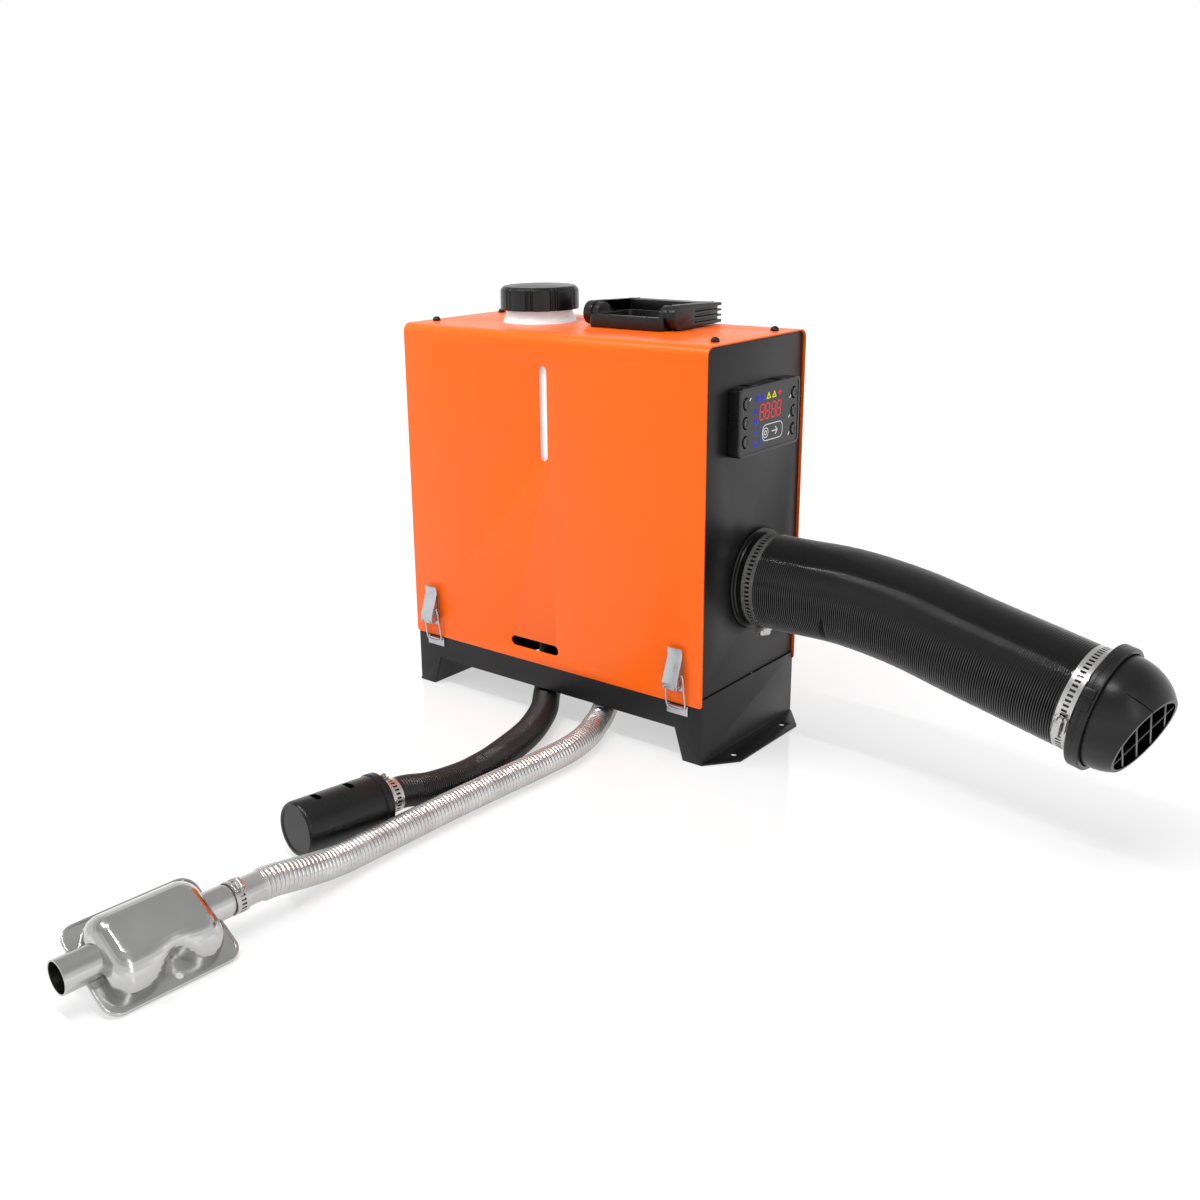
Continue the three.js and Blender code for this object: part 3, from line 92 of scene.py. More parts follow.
# %% Place the camera
AZIMUTH, ELEVATION, ROLL = (math.radians(angle) for angle in (39.73, 16.64, -0.89))
TARGET = mm(-53.88, 0, 134.61)
DISTANCE = 1424.56 * MM
SENSOR, FOCAL_LENGTH = 36, 39.10
SHIFT_X, SHIFT_Y = 0.0336, -0.0265
back = Vector((math.sin(AZIMUTH) * math.cos(ELEVATION), -math.cos(AZIMUTH) * math.cos(ELEVATION),
               math.sin(ELEVATION)))
right = Vector((math.cos(AZIMUTH), math.sin(AZIMUTH), 0))
up = back.cross(right)
rolled_right = right * math.cos(ROLL) + up * math.sin(ROLL)
rolled_up = up * math.cos(ROLL) - right * math.sin(ROLL)
lens = bpy.data.cameras.new("photo_camera")
lens.sensor_width = SENSOR
lens.lens = FOCAL_LENGTH
lens.shift_x = SHIFT_X
lens.shift_y = SHIFT_Y
lens.clip_start = 0.02
camera = bpy.data.objects.new("photo_camera", lens)
scene.collection.objects.link(camera)
camera.matrix_world = (Matrix.Translation(TARGET + back * DISTANCE)
                       @ Matrix((rolled_right, rolled_up, back)).transposed().to_4x4())
scene.camera = camera
print("camera at", [round(v, 3) for v in camera.location])

# %% [markdown]
# ## Shaping tools
# Round parts are spun from a profile, flat parts are extruded from an outline, and sheet parts
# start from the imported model's own solids. Each tool takes millimetres and returns a bmesh in
# metres, and `dress` turns it into an object that rides on a body.


# %% Turn a profile on a lathe
SAME_PLACE = 1e-7


def turn(profile, steps=64, closed=False):
    shape = bmesh.new()
    corners = [shape.verts.new(mm(radius, 0, height)) for radius, height in profile]
    ends = corners[1:] + (corners[:1] if closed else [])
    edges = [shape.edges.new(pair) for pair in zip(corners, ends)]
    bmesh.ops.spin(shape, geom=corners + edges, cent=(0, 0, 0), axis=(0, 0, 1), angle=math.tau,
                   steps=steps, use_merge=True)
    bmesh.ops.remove_doubles(shape, verts=shape.verts, dist=SAME_PLACE)
    bmesh.ops.recalc_face_normals(shape, faces=shape.faces)
    return shape


def seat(origin, direction, across=None):
    z = direction.normalized()
    x = z.orthogonal() if across is None else across - z * across.dot(z)
    x.normalize()
    place = Matrix((x, z.cross(x), z)).transposed().to_4x4()
    place.translation = origin
    return place


def put(shape, place):
    bmesh.ops.transform(shape, matrix=place, verts=shape.verts)
    return shape


print("a lathe shape of", len(turn([(0, 0), (1, 0), (1, 1), (0, 1)], 8).faces), "faces")


# %% Cut a plate or a block
def rounded(x0, y0, x1, y1, radius, steps=6):
    corners = ((x1, y0, -90), (x1, y1, 0), (x0, y1, 90), (x0, y0, 180))
    points = []
    for x, y, start in corners:
        cx = x - math.copysign(radius, x - (x0 + x1) / 2)
        cy = y - math.copysign(radius, y - (y0 + y1) / 2)
        for k in range(steps + 1):
            angle = math.radians(start + 90 * k / steps)
            points.append((cx + radius * math.cos(angle), cy + radius * math.sin(angle)))
    return points


def round_edges(shape, edges, width, segments=2, clamp=True):
    bmesh.ops.bevel(shape, geom=edges, offset=width * MM, offset_type="OFFSET", segments=segments,
                    profile=0.5, affect="EDGES", clamp_overlap=clamp, material=-1)


def plate(outline, low, high, width=0.0, segments=2):
    shape = bmesh.new()
    face = shape.faces.new([shape.verts.new(mm(x, y, low)) for x, y in outline])
    raised = bmesh.ops.extrude_face_region(shape, geom=[face])["geom"]
    bmesh.ops.translate(shape, vec=mm(0, 0, high - low),
                        verts=[v for v in raised if isinstance(v, bmesh.types.BMVert)])
    bmesh.ops.recalc_face_normals(shape, faces=shape.faces)
    if width:
        rim = [e for e in shape.edges if abs(e.verts[0].co.z - e.verts[1].co.z) < SAME_PLACE]
        round_edges(shape, rim, width, segments)
    return shape


def block(x0, x1, y0, y1, z0, z1, width=0.0, segments=2):
    shape = bmesh.new()
    bmesh.ops.create_cube(shape, size=1)
    bmesh.ops.scale(shape, vec=mm(x1 - x0, y1 - y0, z1 - z0), verts=shape.verts)
    bmesh.ops.translate(shape, vec=mm((x0 + x1) / 2, (y0 + y1) / 2, (z0 + z1) / 2),
                        verts=shape.verts)
    if width:
        round_edges(shape, shape.edges[:], width, segments)
    return shape


print("a rounded plate of", len(plate(rounded(0, 0, 9, 9, 2), 0, 1).verts), "points")


# %% Join shapes and carve one with another
def merge(*shapes):
    whole = shapes[0]
    for shape in shapes[1:]:
        spare = bpy.data.meshes.new("spare")
        shape.to_mesh(spare)
        shape.free()
        whole.from_mesh(spare)
        bpy.data.meshes.remove(spare)
    return whole


def carve(body, tool, operation="DIFFERENCE"):
    objects = []
    for shape in (body, tool):
        mesh = bpy.data.meshes.new("spare")
        shape.to_mesh(mesh)
        shape.free()
        objects.append(bpy.data.objects.new("spare", mesh))
        scene.collection.objects.link(objects[-1])
    cut = objects[0].modifiers.new("cut", "BOOLEAN")
    cut.object = objects[1]
    cut.operation = operation
    cut.solver = "EXACT"
    bpy.context.view_layer.update()
    graph = bpy.context.evaluated_depsgraph_get()
    result = bpy.data.meshes.new_from_object(objects[0].evaluated_get(graph))
    carved = bmesh.new()
    carved.from_mesh(result)
    bpy.data.meshes.remove(result)
    for spare in objects:
        mesh = spare.data
        bpy.data.objects.remove(spare)
        bpy.data.meshes.remove(mesh)
    return carved


print("joining and carving are ready")


# %% Dress a shape as a piece
def dress(name, shape, finish, body="housing", replaces=(), crease=32):
    mesh = bpy.data.meshes.new(name)
    shape.to_mesh(mesh)
    shape.free()
    mesh.shade_smooth()
    mesh.set_sharp_from_angle(angle=math.radians(crease))
    for look in finish if isinstance(finish, list) else [finish]:
        mesh.materials.append(look)
    piece = bpy.data.objects.new(name, mesh)
    scene.collection.objects.link(piece)
    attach(piece, body)
    if replaces:
        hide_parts(*replaces)
    print(name, len(mesh.polygons), "faces")
    return piece


def refine(node, finish, width, segments=2, crease=35):
    solid = frame["nodes"][node]
    shape = bmesh.new()
    shape.from_mesh(solid.data)
    for face in shape.faces:
        face.material_index = 0
    bmesh.ops.remove_doubles(shape, verts=shape.verts, dist=1e-6)
    bmesh.ops.dissolve_limit(shape, angle_limit=math.radians(0.5), verts=shape.verts,
                             edges=shape.edges)
    sharp = [e for e in shape.edges
             if len(e.link_faces) == 2 and e.calc_face_angle(0) > math.radians(crease)]
    round_edges(shape, sharp, width, segments, clamp=False)
    return dress(node + "_dressed", shape, finish, solid["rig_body"], [node], crease)


print("nodes in the frame:", len(frame["nodes"]))

# %% [markdown]
# ## Finishes
# Each finish starts from two close colours mixed by soft clouds, a roughness that wanders with
# the same clouds and a fine bump, because no real paint or moulding is quite even. The clouds
# and the grain come from one node group, so that all finishes share it with their own scales.


# %% The shared grain group
def tint(red, green, blue):
    values = [c / 255 for c in (red, green, blue)]
    return tuple(c / 12.92 if c < 0.04045 else ((c + 0.055) / 1.055) ** 2.4 for c in values) + (1,)


grain_group = bpy.data.node_groups.new("clouds_and_grain", "ShaderNodeTree")
for label, default in (("Cloud Scale", 12), ("Grain Scale", 900), ("Stretch", 1)):
    socket = grain_group.interface.new_socket(label, in_out="INPUT", socket_type="NodeSocketFloat")
    socket.default_value = default
for label in ("Clouds", "Grain"):
    grain_group.interface.new_socket(label, in_out="OUTPUT", socket_type="NodeSocketFloat")
nodes, links = grain_group.nodes, grain_group.links
inlet, outlet = nodes.new("NodeGroupInput"), nodes.new("NodeGroupOutput")
place = nodes.new("ShaderNodeTexCoord")
clouds, grain = nodes.new("ShaderNodeTexNoise"), nodes.new("ShaderNodeTexNoise")
stretch, joined = nodes.new("ShaderNodeVectorMath"), nodes.new("ShaderNodeCombineXYZ")
stretch.operation = "MULTIPLY"
joined.inputs["X"].default_value = 1
joined.inputs["Z"].default_value = 1
clouds.inputs["Detail"].default_value = 4
grain.inputs["Detail"].default_value = 2
links.new(inlet.outputs["Stretch"], joined.inputs["Y"])
links.new(joined.outputs["Vector"], stretch.inputs[1])
links.new(place.outputs["Object"], stretch.inputs[0])
links.new(place.outputs["Object"], clouds.inputs["Vector"])
links.new(stretch.outputs["Vector"], grain.inputs["Vector"])
links.new(inlet.outputs["Cloud Scale"], clouds.inputs["Scale"])
links.new(inlet.outputs["Grain Scale"], grain.inputs["Scale"])
links.new(clouds.outputs["Fac"], outlet.inputs["Clouds"])
links.new(grain.outputs["Fac"], outlet.inputs["Grain"])
print("shared group has", len(nodes), "nodes")


# %% A finish from two colours
def finish(name, light, dark, rough, metallic=0.0, clouds=14, grain=900, bump=0.15, depth=0.2,
           stretch=1.0, specular=0.5, painted_glow=0.0):
    look = bpy.data.materials.new(name)
    look.use_nodes = True
    nodes, links = look.node_tree.nodes, look.node_tree.links
    skin = nodes["Principled BSDF"]
    # Emission here is a painted glow: it makes a surface shine with no lamp on it.
    skin.inputs["Emission Color"].default_value = tint(*light)
    skin.inputs["Emission Strength"].default_value = painted_glow
    skin.inputs["Metallic"].default_value = metallic
    skin.inputs["Specular IOR Level"].default_value = specular
    pattern = nodes.new("ShaderNodeGroup")
    pattern.node_tree = grain_group
    pattern.inputs["Cloud Scale"].default_value = clouds
    pattern.inputs["Grain Scale"].default_value = grain
    pattern.inputs["Stretch"].default_value = stretch
    mix = nodes.new("ShaderNodeMix")
    mix.data_type = "RGBA"
    mix.inputs[6].default_value = tint(*dark)
    mix.inputs[7].default_value = tint(*light)
    spread = nodes.new("ShaderNodeMapRange")
    spread.inputs["From Min"].default_value = 0.3
    spread.inputs["From Max"].default_value = 0.7
    spread.inputs["To Min"].default_value = rough[0]
    spread.inputs["To Max"].default_value = rough[1]
    relief = nodes.new("ShaderNodeBump")
    relief.inputs["Strength"].default_value = bump
    relief.inputs["Distance"].default_value = depth * MM
    links.new(pattern.outputs["Clouds"], mix.inputs[0])
    links.new(pattern.outputs["Clouds"], spread.inputs["Value"])
    links.new(pattern.outputs["Grain"], relief.inputs["Height"])
    links.new(mix.outputs[2], skin.inputs["Base Color"])
    links.new(spread.outputs["Result"], skin.inputs["Roughness"])
    links.new(relief.outputs["Normal"], skin.inputs["Normal"])
    return look


orange_paint = finish("orange_powder_coat", (255, 106, 8), (252, 99, 5), (0.28, 0.38), clouds=9,
                      grain=520, bump=0.12, depth=0.1, specular=0.32)
black_paint = finish("black_powder_coat", (26, 26, 27), (20, 20, 21), (0.34, 0.46), clouds=11,
                     grain=700, bump=0.2, depth=0.1, specular=0.3)
moulded_black = finish("moulded_black_plastic", (15, 15, 16), (10, 10, 11), (0.24, 0.36), clouds=20,
                       grain=1500, bump=0.18, depth=0.08, specular=0.38)
controller_black = finish("controller_plastic", (20, 20, 22), (14, 14, 15), (0.24, 0.32), clouds=25,
                          grain=1800, bump=0.12, depth=0.05)
key_black = finish("key_rubber", (14, 14, 15), (9, 9, 10), (0.16, 0.24), clouds=60, grain=2000,
                   bump=0.1, depth=0.05)
seal_black = finish("seal_rubber", (24, 24, 24), (16, 16, 16), (0.6, 0.75), grain=1200)
duct_black = finish("duct_fabric", (9, 9, 10), (4, 4, 5), (0.12, 0.17), clouds=24, grain=1600,
                    bump=0.05, depth=0.05, specular=0.7)
hose_black = finish("hose_plastic", (18, 18, 19), (11, 11, 12), (0.3, 0.4), clouds=40, grain=1500,
                    bump=0.1, depth=0.05)
stainless = finish("stainless_strip", (214, 213, 211), (166, 165, 163), (0.16, 0.3), metallic=0.85,
                   clouds=45, grain=900, bump=0.1, depth=0.05, stretch=0.15)
polished = finish("polished_stainless", (204, 204, 202), (172, 172, 171), (0.14, 0.24),
                  metallic=1.0, clouds=18, grain=260, bump=0.1, depth=0.1, stretch=0.08)
zinc = finish("zinc_plate", (205, 208, 212), (158, 161, 166), (0.24, 0.4), metallic=0.95,
              clouds=90, grain=900, bump=0.12, depth=0.06)
cast = finish("cast_aluminium", (172, 173, 175), (138, 139, 141), (0.4, 0.6), metallic=0.9,
              grain=700, bump=0.4, depth=0.15)
# The tank plastic gets a faint emission, a painted glow that stands in for light shining through
# it.
tank_white_painted_glow = finish("tank_plastic", (226, 242, 245), (214, 231, 235), (0.3, 0.42), clouds=16,
                    grain=600, bump=0.1, depth=0.08, painted_glow=0.22)
board = finish("circuit_board", (34, 96, 60), (24, 74, 46), (0.4, 0.5), clouds=60)
fuel_hose = finish("fuel_hose", (205, 178, 110), (186, 158, 92), (0.3, 0.4), clouds=60)
print("finishes:", len(bpy.data.materials))


# %% Lit and printed marks of the display
def mark(name, colour, strength):
    look = bpy.data.materials.new(name)
    look.use_nodes = True
    skin = look.node_tree.nodes["Principled BSDF"]
    speckle = look.node_tree.nodes.new("ShaderNodeTexNoise")
    where = look.node_tree.nodes.new("ShaderNodeTexCoord")
    blend = look.node_tree.nodes.new("ShaderNodeMix")
    blend.data_type = "RGBA"
    speckle.inputs["Scale"].default_value = 700
    blend.inputs[6].default_value = tint(*[c * 0.8 for c in colour])
    blend.inputs[7].default_value = tint(*colour)
    look.node_tree.links.new(where.outputs["Object"], speckle.inputs["Vector"])
    look.node_tree.links.new(speckle.outputs["Fac"], blend.inputs[0])
    look.node_tree.links.new(blend.outputs[2], skin.inputs["Base Color"])
    look.node_tree.links.new(blend.outputs[2], skin.inputs["Emission Color"])
    # On lit marks the emission is the display's own light; on printed marks it is a painted glow.
    skin.inputs["Emission Strength"].default_value = strength
    skin.inputs["Roughness"].default_value = 0.4
    return look


lit_red = mark("lit_red", (200, 22, 30), 0.8)
lit_blue = mark("lit_blue", (24, 34, 205), 0.8)
lit_yellow = mark("lit_yellow", (226, 212, 40), 0.7)
# The printed white marks give no light of their own; their emission is a painted glow that keeps
# them bright.
print_white_painted_glow = mark("printed_white_painted_glow", (235, 235, 235), 0.35)
print("marks made")

# %% [markdown]
# ## Routes
# A hose follows a smooth curve through the points of its route. The curve is the centripetal
# kind, which keeps to its points without loops. A straight hose is spun on the lathe first and
# then laid along the curve, point by point, which keeps every rib square to its line.


# %% Follow a route
def smooth_points(route, steps=24):
    points = [route[0] * 2 - route[1], *route, route[-1] * 2 - route[-2]]
    line = []
    for p0, p1, p2, p3 in zip(points, points[1:], points[2:], points[3:]):
        d0, d1, d2 = ((b - a).length ** 0.5 for a, b in ((p0, p1), (p1, p2), (p2, p3)))
        start = ((p1 - p0) / d0 - (p2 - p0) / (d0 + d1) + (p2 - p1) / d1) * d1
        end = ((p2 - p1) / d1 - (p3 - p1) / (d1 + d2) + (p3 - p2) / d2) * d1
        for k in range(steps):
            t = k / steps
            line.append(p1 + start * t + (p2 * 3 - p1 * 3 - start * 2 - end) * t ** 2
                        + (p1 * 2 - p2 * 2 + start + end) * t ** 3)
    return line + [route[-1].copy()]


def follow(route):
    line = smooth_points(route)
    lengths = [0.0]
    for a, b in zip(line, line[1:]):
        lengths.append(lengths[-1] + (b - a).length)
    tangents = [(b - a).normalized() for a, b in zip(line[:1] + line, line[1:] + line[-1:])]
    side = X_AXIS.cross(tangents[0])
    side = (side if side.length > 0.3 else Z_AXIS.cross(tangents[0])).normalized()
    sides = []
    for tangent in tangents:
        side = (side - tangent * side.dot(tangent)).normalized()
        sides.append(side)

    def at(s):
        k = min(max(bisect.bisect_right(lengths, s) - 1, 0), len(line) - 2)
        part = (s - lengths[k]) / (lengths[k + 1] - lengths[k])
        tangent = tangents[k].lerp(tangents[k + 1], min(max(part, 0), 1)).normalized()
        across = sides[k].lerp(sides[k + 1], min(max(part, 0), 1)).normalized()
        return line[k].lerp(line[k + 1], part), across, tangent.cross(across), tangent

    return at, lengths[-1], line


def lay(shape, at):
    for vert in shape.verts:
        point, across, above, _ = at(vert.co.z)
        vert.co = point + across * vert.co.x + above * vert.co.y
    bmesh.ops.recalc_face_normals(shape, faces=shape.faces)
    return shape


print("route tools ready")

# %% [markdown]
# ## Exhaust pipe
# The exhaust pipe is a flexible tube rolled from a steel strip, so its skin is a row of round
# ribs. Near the silencer it has a smooth sleeve for the clamp. It is free to lie where it falls,
# but here it rides on the housing with its clamp and its silencer.


# %% Ribbed tubes
EXHAUST_ROUTE = [mm(*point) for point in (
    (30, 6.5, 90.8), (34.6, -5.7, 68.3), (50, -46, 28), (60, -73, 15.7), (68, -95, 13.6),
    (76, -115, 13.6), (83, -150, 13.6), (83, -190, 13.6), (79, -250, 13.6), (75, -315, 13.6),
    (72, -400, 13.6), (72.5, -440, 15.5), (74.2, -478, 22.4), (74.1, -503, 27.6),
    (72.9, -521, 28.9), (72, -534.5, 28.9), (71.1, -548, 28.9))]
exhaust_at, exhaust_length, exhaust_line = follow(EXHAUST_ROUTE)


SLEEVE_STEPS, BORE_STEPS = 6, 60


def ribbed_hose(length, ribs, crest, valley, bore, start, end, sides, rib_shape, wander=0.0):
    pitch = (length - start - end) / ribs
    profile = [(valley, start * k / SLEEVE_STEPS) for k in range(SLEEVE_STEPS)]
    for rib in range(ribs):
        drift = wander * math.sin(rib * 1.7) * math.sin(rib * 0.61 + 1)
        profile += [(valley + (crest - valley) * height + drift, start + (rib + part) * pitch)
                    for part, height in rib_shape]
    profile += [(valley, length - end * (SLEEVE_STEPS - k) / SLEEVE_STEPS)
                for k in range(SLEEVE_STEPS + 1)]
    profile += [(bore, length * (1 - k / BORE_STEPS)) for k in range(BORE_STEPS + 1)]
    return turn(profile, sides, closed=True)


ROUND_RIB = ((0.0, 0.0), (0.18, 0.75), (0.42, 1.0), (0.66, 0.75), (0.84, 0.0))
exhaust_shape = ribbed_hose(exhaust_length / MM, ribs=136, crest=13, valley=11.7, bore=11.2,
                            start=24, end=30, sides=28, rib_shape=ROUND_RIB)
exhaust = dress("exhaust_flex", lay(exhaust_shape, exhaust_at), stainless,
                replaces=["exhaust_pipe"], crease=60)
print("exhaust length", round(exhaust_length, 3), "m")

# %% [markdown]
# ## Combustion air hose
# The intake hose is a soft corrugated plastic tube with finer ribs, and ends in a filter that
# keeps dust out of the burner.

# %% Lay the intake hose
INTAKE_ROUTE = [mm(*point) for point in (
    (-80, 22, 91), (-73.4, 12, 70.4), (-59.6, -8.3, 41.1), (-41, -36, 22.2), (-20, -66, 15.2),
    (3, -98, 15), (25, -143, 15), (32.4, -166, 15), (38, -190, 15), (44.5, -225, 15),
    (45.9, -243, 15), (46, -262, 15), (42.5, -305, 18.6), (38.6, -334, 25), (35.6, -358, 25.8))]
intake_at, intake_length, intake_line = follow(INTAKE_ROUTE)
intake_shape = ribbed_hose(intake_length / MM, ribs=172, crest=14.5, valley=13.5, bore=12.7,
                           start=22, end=20, sides=28, rib_shape=ROUND_RIB)
intake = dress("intake_flex", lay(intake_shape, intake_at), hose_black,
               replaces=["intake_hose"], crease=60)
print("intake length", round(intake_length, 3), "m")

# %% [markdown]
# ## Hot air duct
# The duct is a thin black skin pleated over a wire helix, so its folds are narrow, sharp and a
# little uneven. It is short for its thickness, so it stays one stiff piece on the housing.

# %% Pleat the duct
DUCT_ROUTE = [mm(*point) for point in (
    (192.6, 12.3, 165), (240, 12.3, 165), (286, 12.2, 164.8), (350, 7, 158.5), (412, 0, 146.5),
    (457, -4.2, 137.6), (502, -8.4, 128.7), (524, -10.4, 124.4))]
duct_at, duct_length, _ = follow(DUCT_ROUTE)
DUCT_END = DUCT_ROUTE[-1]
DUCT_AXIS = (DUCT_ROUTE[-1] - DUCT_ROUTE[-2]).normalized()
PLEAT = ((0.0, 0.0), (0.22, 0.55), (0.42, 1.0), (0.62, 1.0), (0.82, 0.55))
duct_shape = ribbed_hose(duct_length / MM, ribs=140, crest=45.9, valley=44.5, bore=41.8,
                         start=17, end=17, sides=96, rib_shape=PLEAT, wander=0.1)
dress("hot_air_duct_pleated", lay(duct_shape, duct_at), duct_black,
      replaces=["hot_air_duct"], crease=60)
print("duct length", round(duct_length, 3), "m")

# %% [markdown]
# ## Worm clamps
# A worm clamp is a steel band with a row of slots that a screw drives along. The band is a spun
# strip with every second field of its middle row taken out, thickened afterwards. The screw sits
# in a pressed housing on a saddle, with a slotted hexagon head at one end.


# %% Build a clamp
def slotted_band(radius, width, fields):
    rows = [(radius, width * part) for part in (0, 0.3, 0.7, 1)]
    band = turn(rows, fields * 2)
    gone = []
    for face in band.faces:
        centre = face.calc_center_median()
        field = int(math.atan2(centre.y, centre.x) / math.tau * fields * 2 + fields * 4)
        if abs(centre.z / MM - width / 2) < width * 0.15 and field % 2:
            gone.append(face)
    bmesh.ops.delete(band, geom=gone, context="FACES")
    bmesh.ops.solidify(band, geom=band.faces[:], thickness=-0.7 * MM)
    bmesh.ops.recalc_face_normals(band, faces=band.faces)
    return band


def worm_clamp(start, axis, radius, width, outward, size, fields):
    band = put(slotted_band(radius, width, fields), seat(start, axis))
    barrel = turn([(0, -size * 0.62), (size * 0.27, -size * 0.62), (size * 0.3, -size * 0.5),
                   (size * 0.3, size * 0.42), (size * 0.24, size * 0.5), (0, size * 0.5)], 24)
    head = turn([(0, 0), (size * 0.3, 0), (size * 0.3, size * 0.22), (size * 0.26, size * 0.28),
                 (0, size * 0.28)], 6)
    head = carve(head, block(-size, size, -size * 0.04, size * 0.04, size * 0.14, size))
    bmesh.ops.translate(head, vec=mm(0, 0, size * 0.5), verts=head.verts)
    screw = put(merge(barrel, head), Matrix.Translation(mm(0, 0, size * 0.36))
                @ Matrix.Rotation(math.radians(-90), 4, "Y"))
    saddle = block(-size * 0.55, size * 0.5, -width * 0.46, width * 0.46, -0.3, size * 0.16, 0.4)
    cheeks = block(-size * 0.4, size * 0.42, -width * 0.34, width * 0.34, 0, size * 0.5,
                   size * 0.14, 3)
    outward = (outward - axis * outward.dot(axis)).normalized()
    top = seat(start + axis * width * MM / 2 + outward * (radius + 0.9) * MM, outward,
               axis.cross(outward))
    return merge(band, put(merge(saddle, cheeks, screw), top))


DUCT_BAND = {"radius": 45.37, "width": 12.5, "size": 13, "fields": 66}
HOSE_BAND = {"width": 11, "size": 8}
panel_band = worm_clamp(mm(197, 12.3, 165), X_AXIS, outward=Vector((0, -0.25, -1)), **DUCT_BAND)
dress("duct_clamp_panel", panel_band, stainless, replaces=["duct_clamp_inner"])
vent_band = worm_clamp(DUCT_END - DUCT_AXIS * 15 * MM, DUCT_AXIS, outward=Vector((0, -1, -0.2)),
                       **DUCT_BAND)
dress("duct_clamp_vent", vent_band, stainless, replaces=["duct_clamp_outer"])
exhaust_axis = (EXHAUST_ROUTE[-1] - EXHAUST_ROUTE[-2]).normalized()
exhaust_band = worm_clamp(EXHAUST_ROUTE[-1] - exhaust_axis * 14 * MM, exhaust_axis, radius=12.6,
                          outward=Vector((0.6, 0, 1)), fields=24, **HOSE_BAND)
exhaust_clamp = dress("exhaust_band", exhaust_band, stainless,
                      replaces=["exhaust_clamp"])
intake_axis = (INTAKE_ROUTE[-1] - INTAKE_ROUTE[-2]).normalized()
intake_band = worm_clamp(INTAKE_ROUTE[-1] - intake_axis * 16 * MM, intake_axis, radius=14.3,
                         outward=Vector((-0.7, 0, 0.8)), fields=26, **HOSE_BAND)
intake_clamp = dress("intake_band", intake_band, stainless,
                     replaces=["intake_clamp"])
print("four clamps")

# %% [markdown]
# ## Silencer
# The silencer is two pressed half shells of polished steel, closed by a rolled flange. Each half
# is one outline, raised step by step while it shrinks along a quarter ellipse, which gives the
# pillow its round shoulders. The front hole has a scallop pressed round it.


# %% Press the half shells
def rise(levels):
    shape = bmesh.new()
    face = shape.faces.new([shape.verts.new(point) for point in levels[0]])
    for level in levels[1:]:
        old = [vert.co.copy() for vert in face.verts]
        grown = bmesh.ops.extrude_face_region(shape, geom=[face])["geom"]
        face = next(item for item in grown if isinstance(item, bmesh.types.BMFace))
        first = min(range(len(old)), key=lambda k: (old[k] - face.verts[0].co).length_squared)
        second = min(range(len(old)), key=lambda k: (old[k] - face.verts[1].co).length_squared)
        step = 1 if (second - first) % len(old) == 1 else -1
        for count, vert in enumerate(face.verts):
            vert.co = level[(first + step * count) % len(old)]
    bmesh.ops.recalc_face_normals(shape, faces=shape.faces)
    return shape


def densify(outline, counts, step=2.0):
    pairs = list(zip(outline, outline[1:] + outline[:1]))
    if not counts:
        # The first outline sets the counts, so that all levels of a pillow match.
        counts += [max(1, round(math.hypot(b[0] - a[0], b[1] - a[1]) / step)) for a, b in pairs]
    return [(a[0] + (b[0] - a[0]) * k / count, a[1] + (b[1] - a[1]) * k / count)
            for (a, b), count in zip(pairs, counts) for k in range(count)]


def pillow(half_width, half_length, height, side, end, corner, dent, steps=12):
    levels, counts = [], []
    for k in range(-1, steps + 1):
        angle = max(k, 0) / steps * math.pi / 2
        inset, shorter = side * (1 - math.cos(angle)), end * (1 - math.cos(angle))
        z = 0 if k < 0 else height - side + side * math.sin(angle)
        edge = half_width - inset
        outline = rounded(-edge, -half_length + shorter, edge, half_length - shorter,
                          corner * (1 - 0.7 * inset / side), 12)
        level = []
        for x, y in densify(outline, counts):
            if x > 0:
                fade = 1 - min(z / height, 1) ** 1.6
                x -= dent * math.exp(-((y - 4) / 12.5) ** 2) * fade * (x / edge) ** 2
            level.append(mm(x, y, z))
        levels.append(level)
    return rise(levels)


MUFFLER_PLACE = (Matrix.Translation(mm(66.4, -609, 21.3))
                 @ Matrix.Rotation(math.radians(-3.8), 4, "Z")
                 @ Matrix.Rotation(math.radians(30), 4, "Y"))
PIPE_ROOT = mm(-3.2, 0, 6.9)
flange = plate(rounded(-39.4, -53.4, 39.4, 53.4, 12.4, 10), -0.9, 0.9)
for drill in (put(turn([(0, -3), (3, -3), (3, 3), (0, 3)], 32), Matrix.Translation(mm(32, 4, 0))),
              plate(rounded(-37.8, -26, -35, -14, 1.3), -3, 3),
              plate(rounded(-37.8, 16, -35, 28, 1.3), -3, 3)):
    flange = carve(flange, drill)
rolled = carve(plate(rounded(-40, -54, 40, 54, 13, 10), -1.7, 1.7, 1.2, 4),
               plate(rounded(-37.8, -51.8, 37.8, 51.8, 10.8, 10), -5, 5))
upper = pillow(33, 45, height=30, side=25, end=15, corner=16, dent=16)
lower = pillow(30, 45, height=10.5, side=9, end=9, corner=14, dent=13)
put(lower, Matrix.Scale(-1, 4, Z_AXIS))
bmesh.ops.recalc_face_normals(lower, faces=lower.faces)
outlet_pipe = turn([(11.8, 10), (11.8, 71), (13, 71), (13, 22), (13.6, 20), (13.6, 10)], 48, True)
inlet_pipe = turn([(9, 10), (9, 70), (10.2, 70), (10.2, 60.6), (12.9, 60.6), (13, 59), (13, 10)],
                  48, True)
tail = put(outlet_pipe, seat(PIPE_ROOT, Vector((0, -1, 0))))
head = put(inlet_pipe, seat(PIPE_ROOT, Vector((0, 1, 0))))
silencer = merge(flange, rolled, upper, lower, tail, head)
muffler = dress("silencer", put(silencer, MUFFLER_PLACE), polished,
                replaces=["muffler"], crease=38)
print("silencer at", [round(v, 3) for v in MUFFLER_PLACE.translation])

# %% [markdown]
# ## Intake filter
# The filter is a plain moulded drum with a rim at each end and two air windows on top.

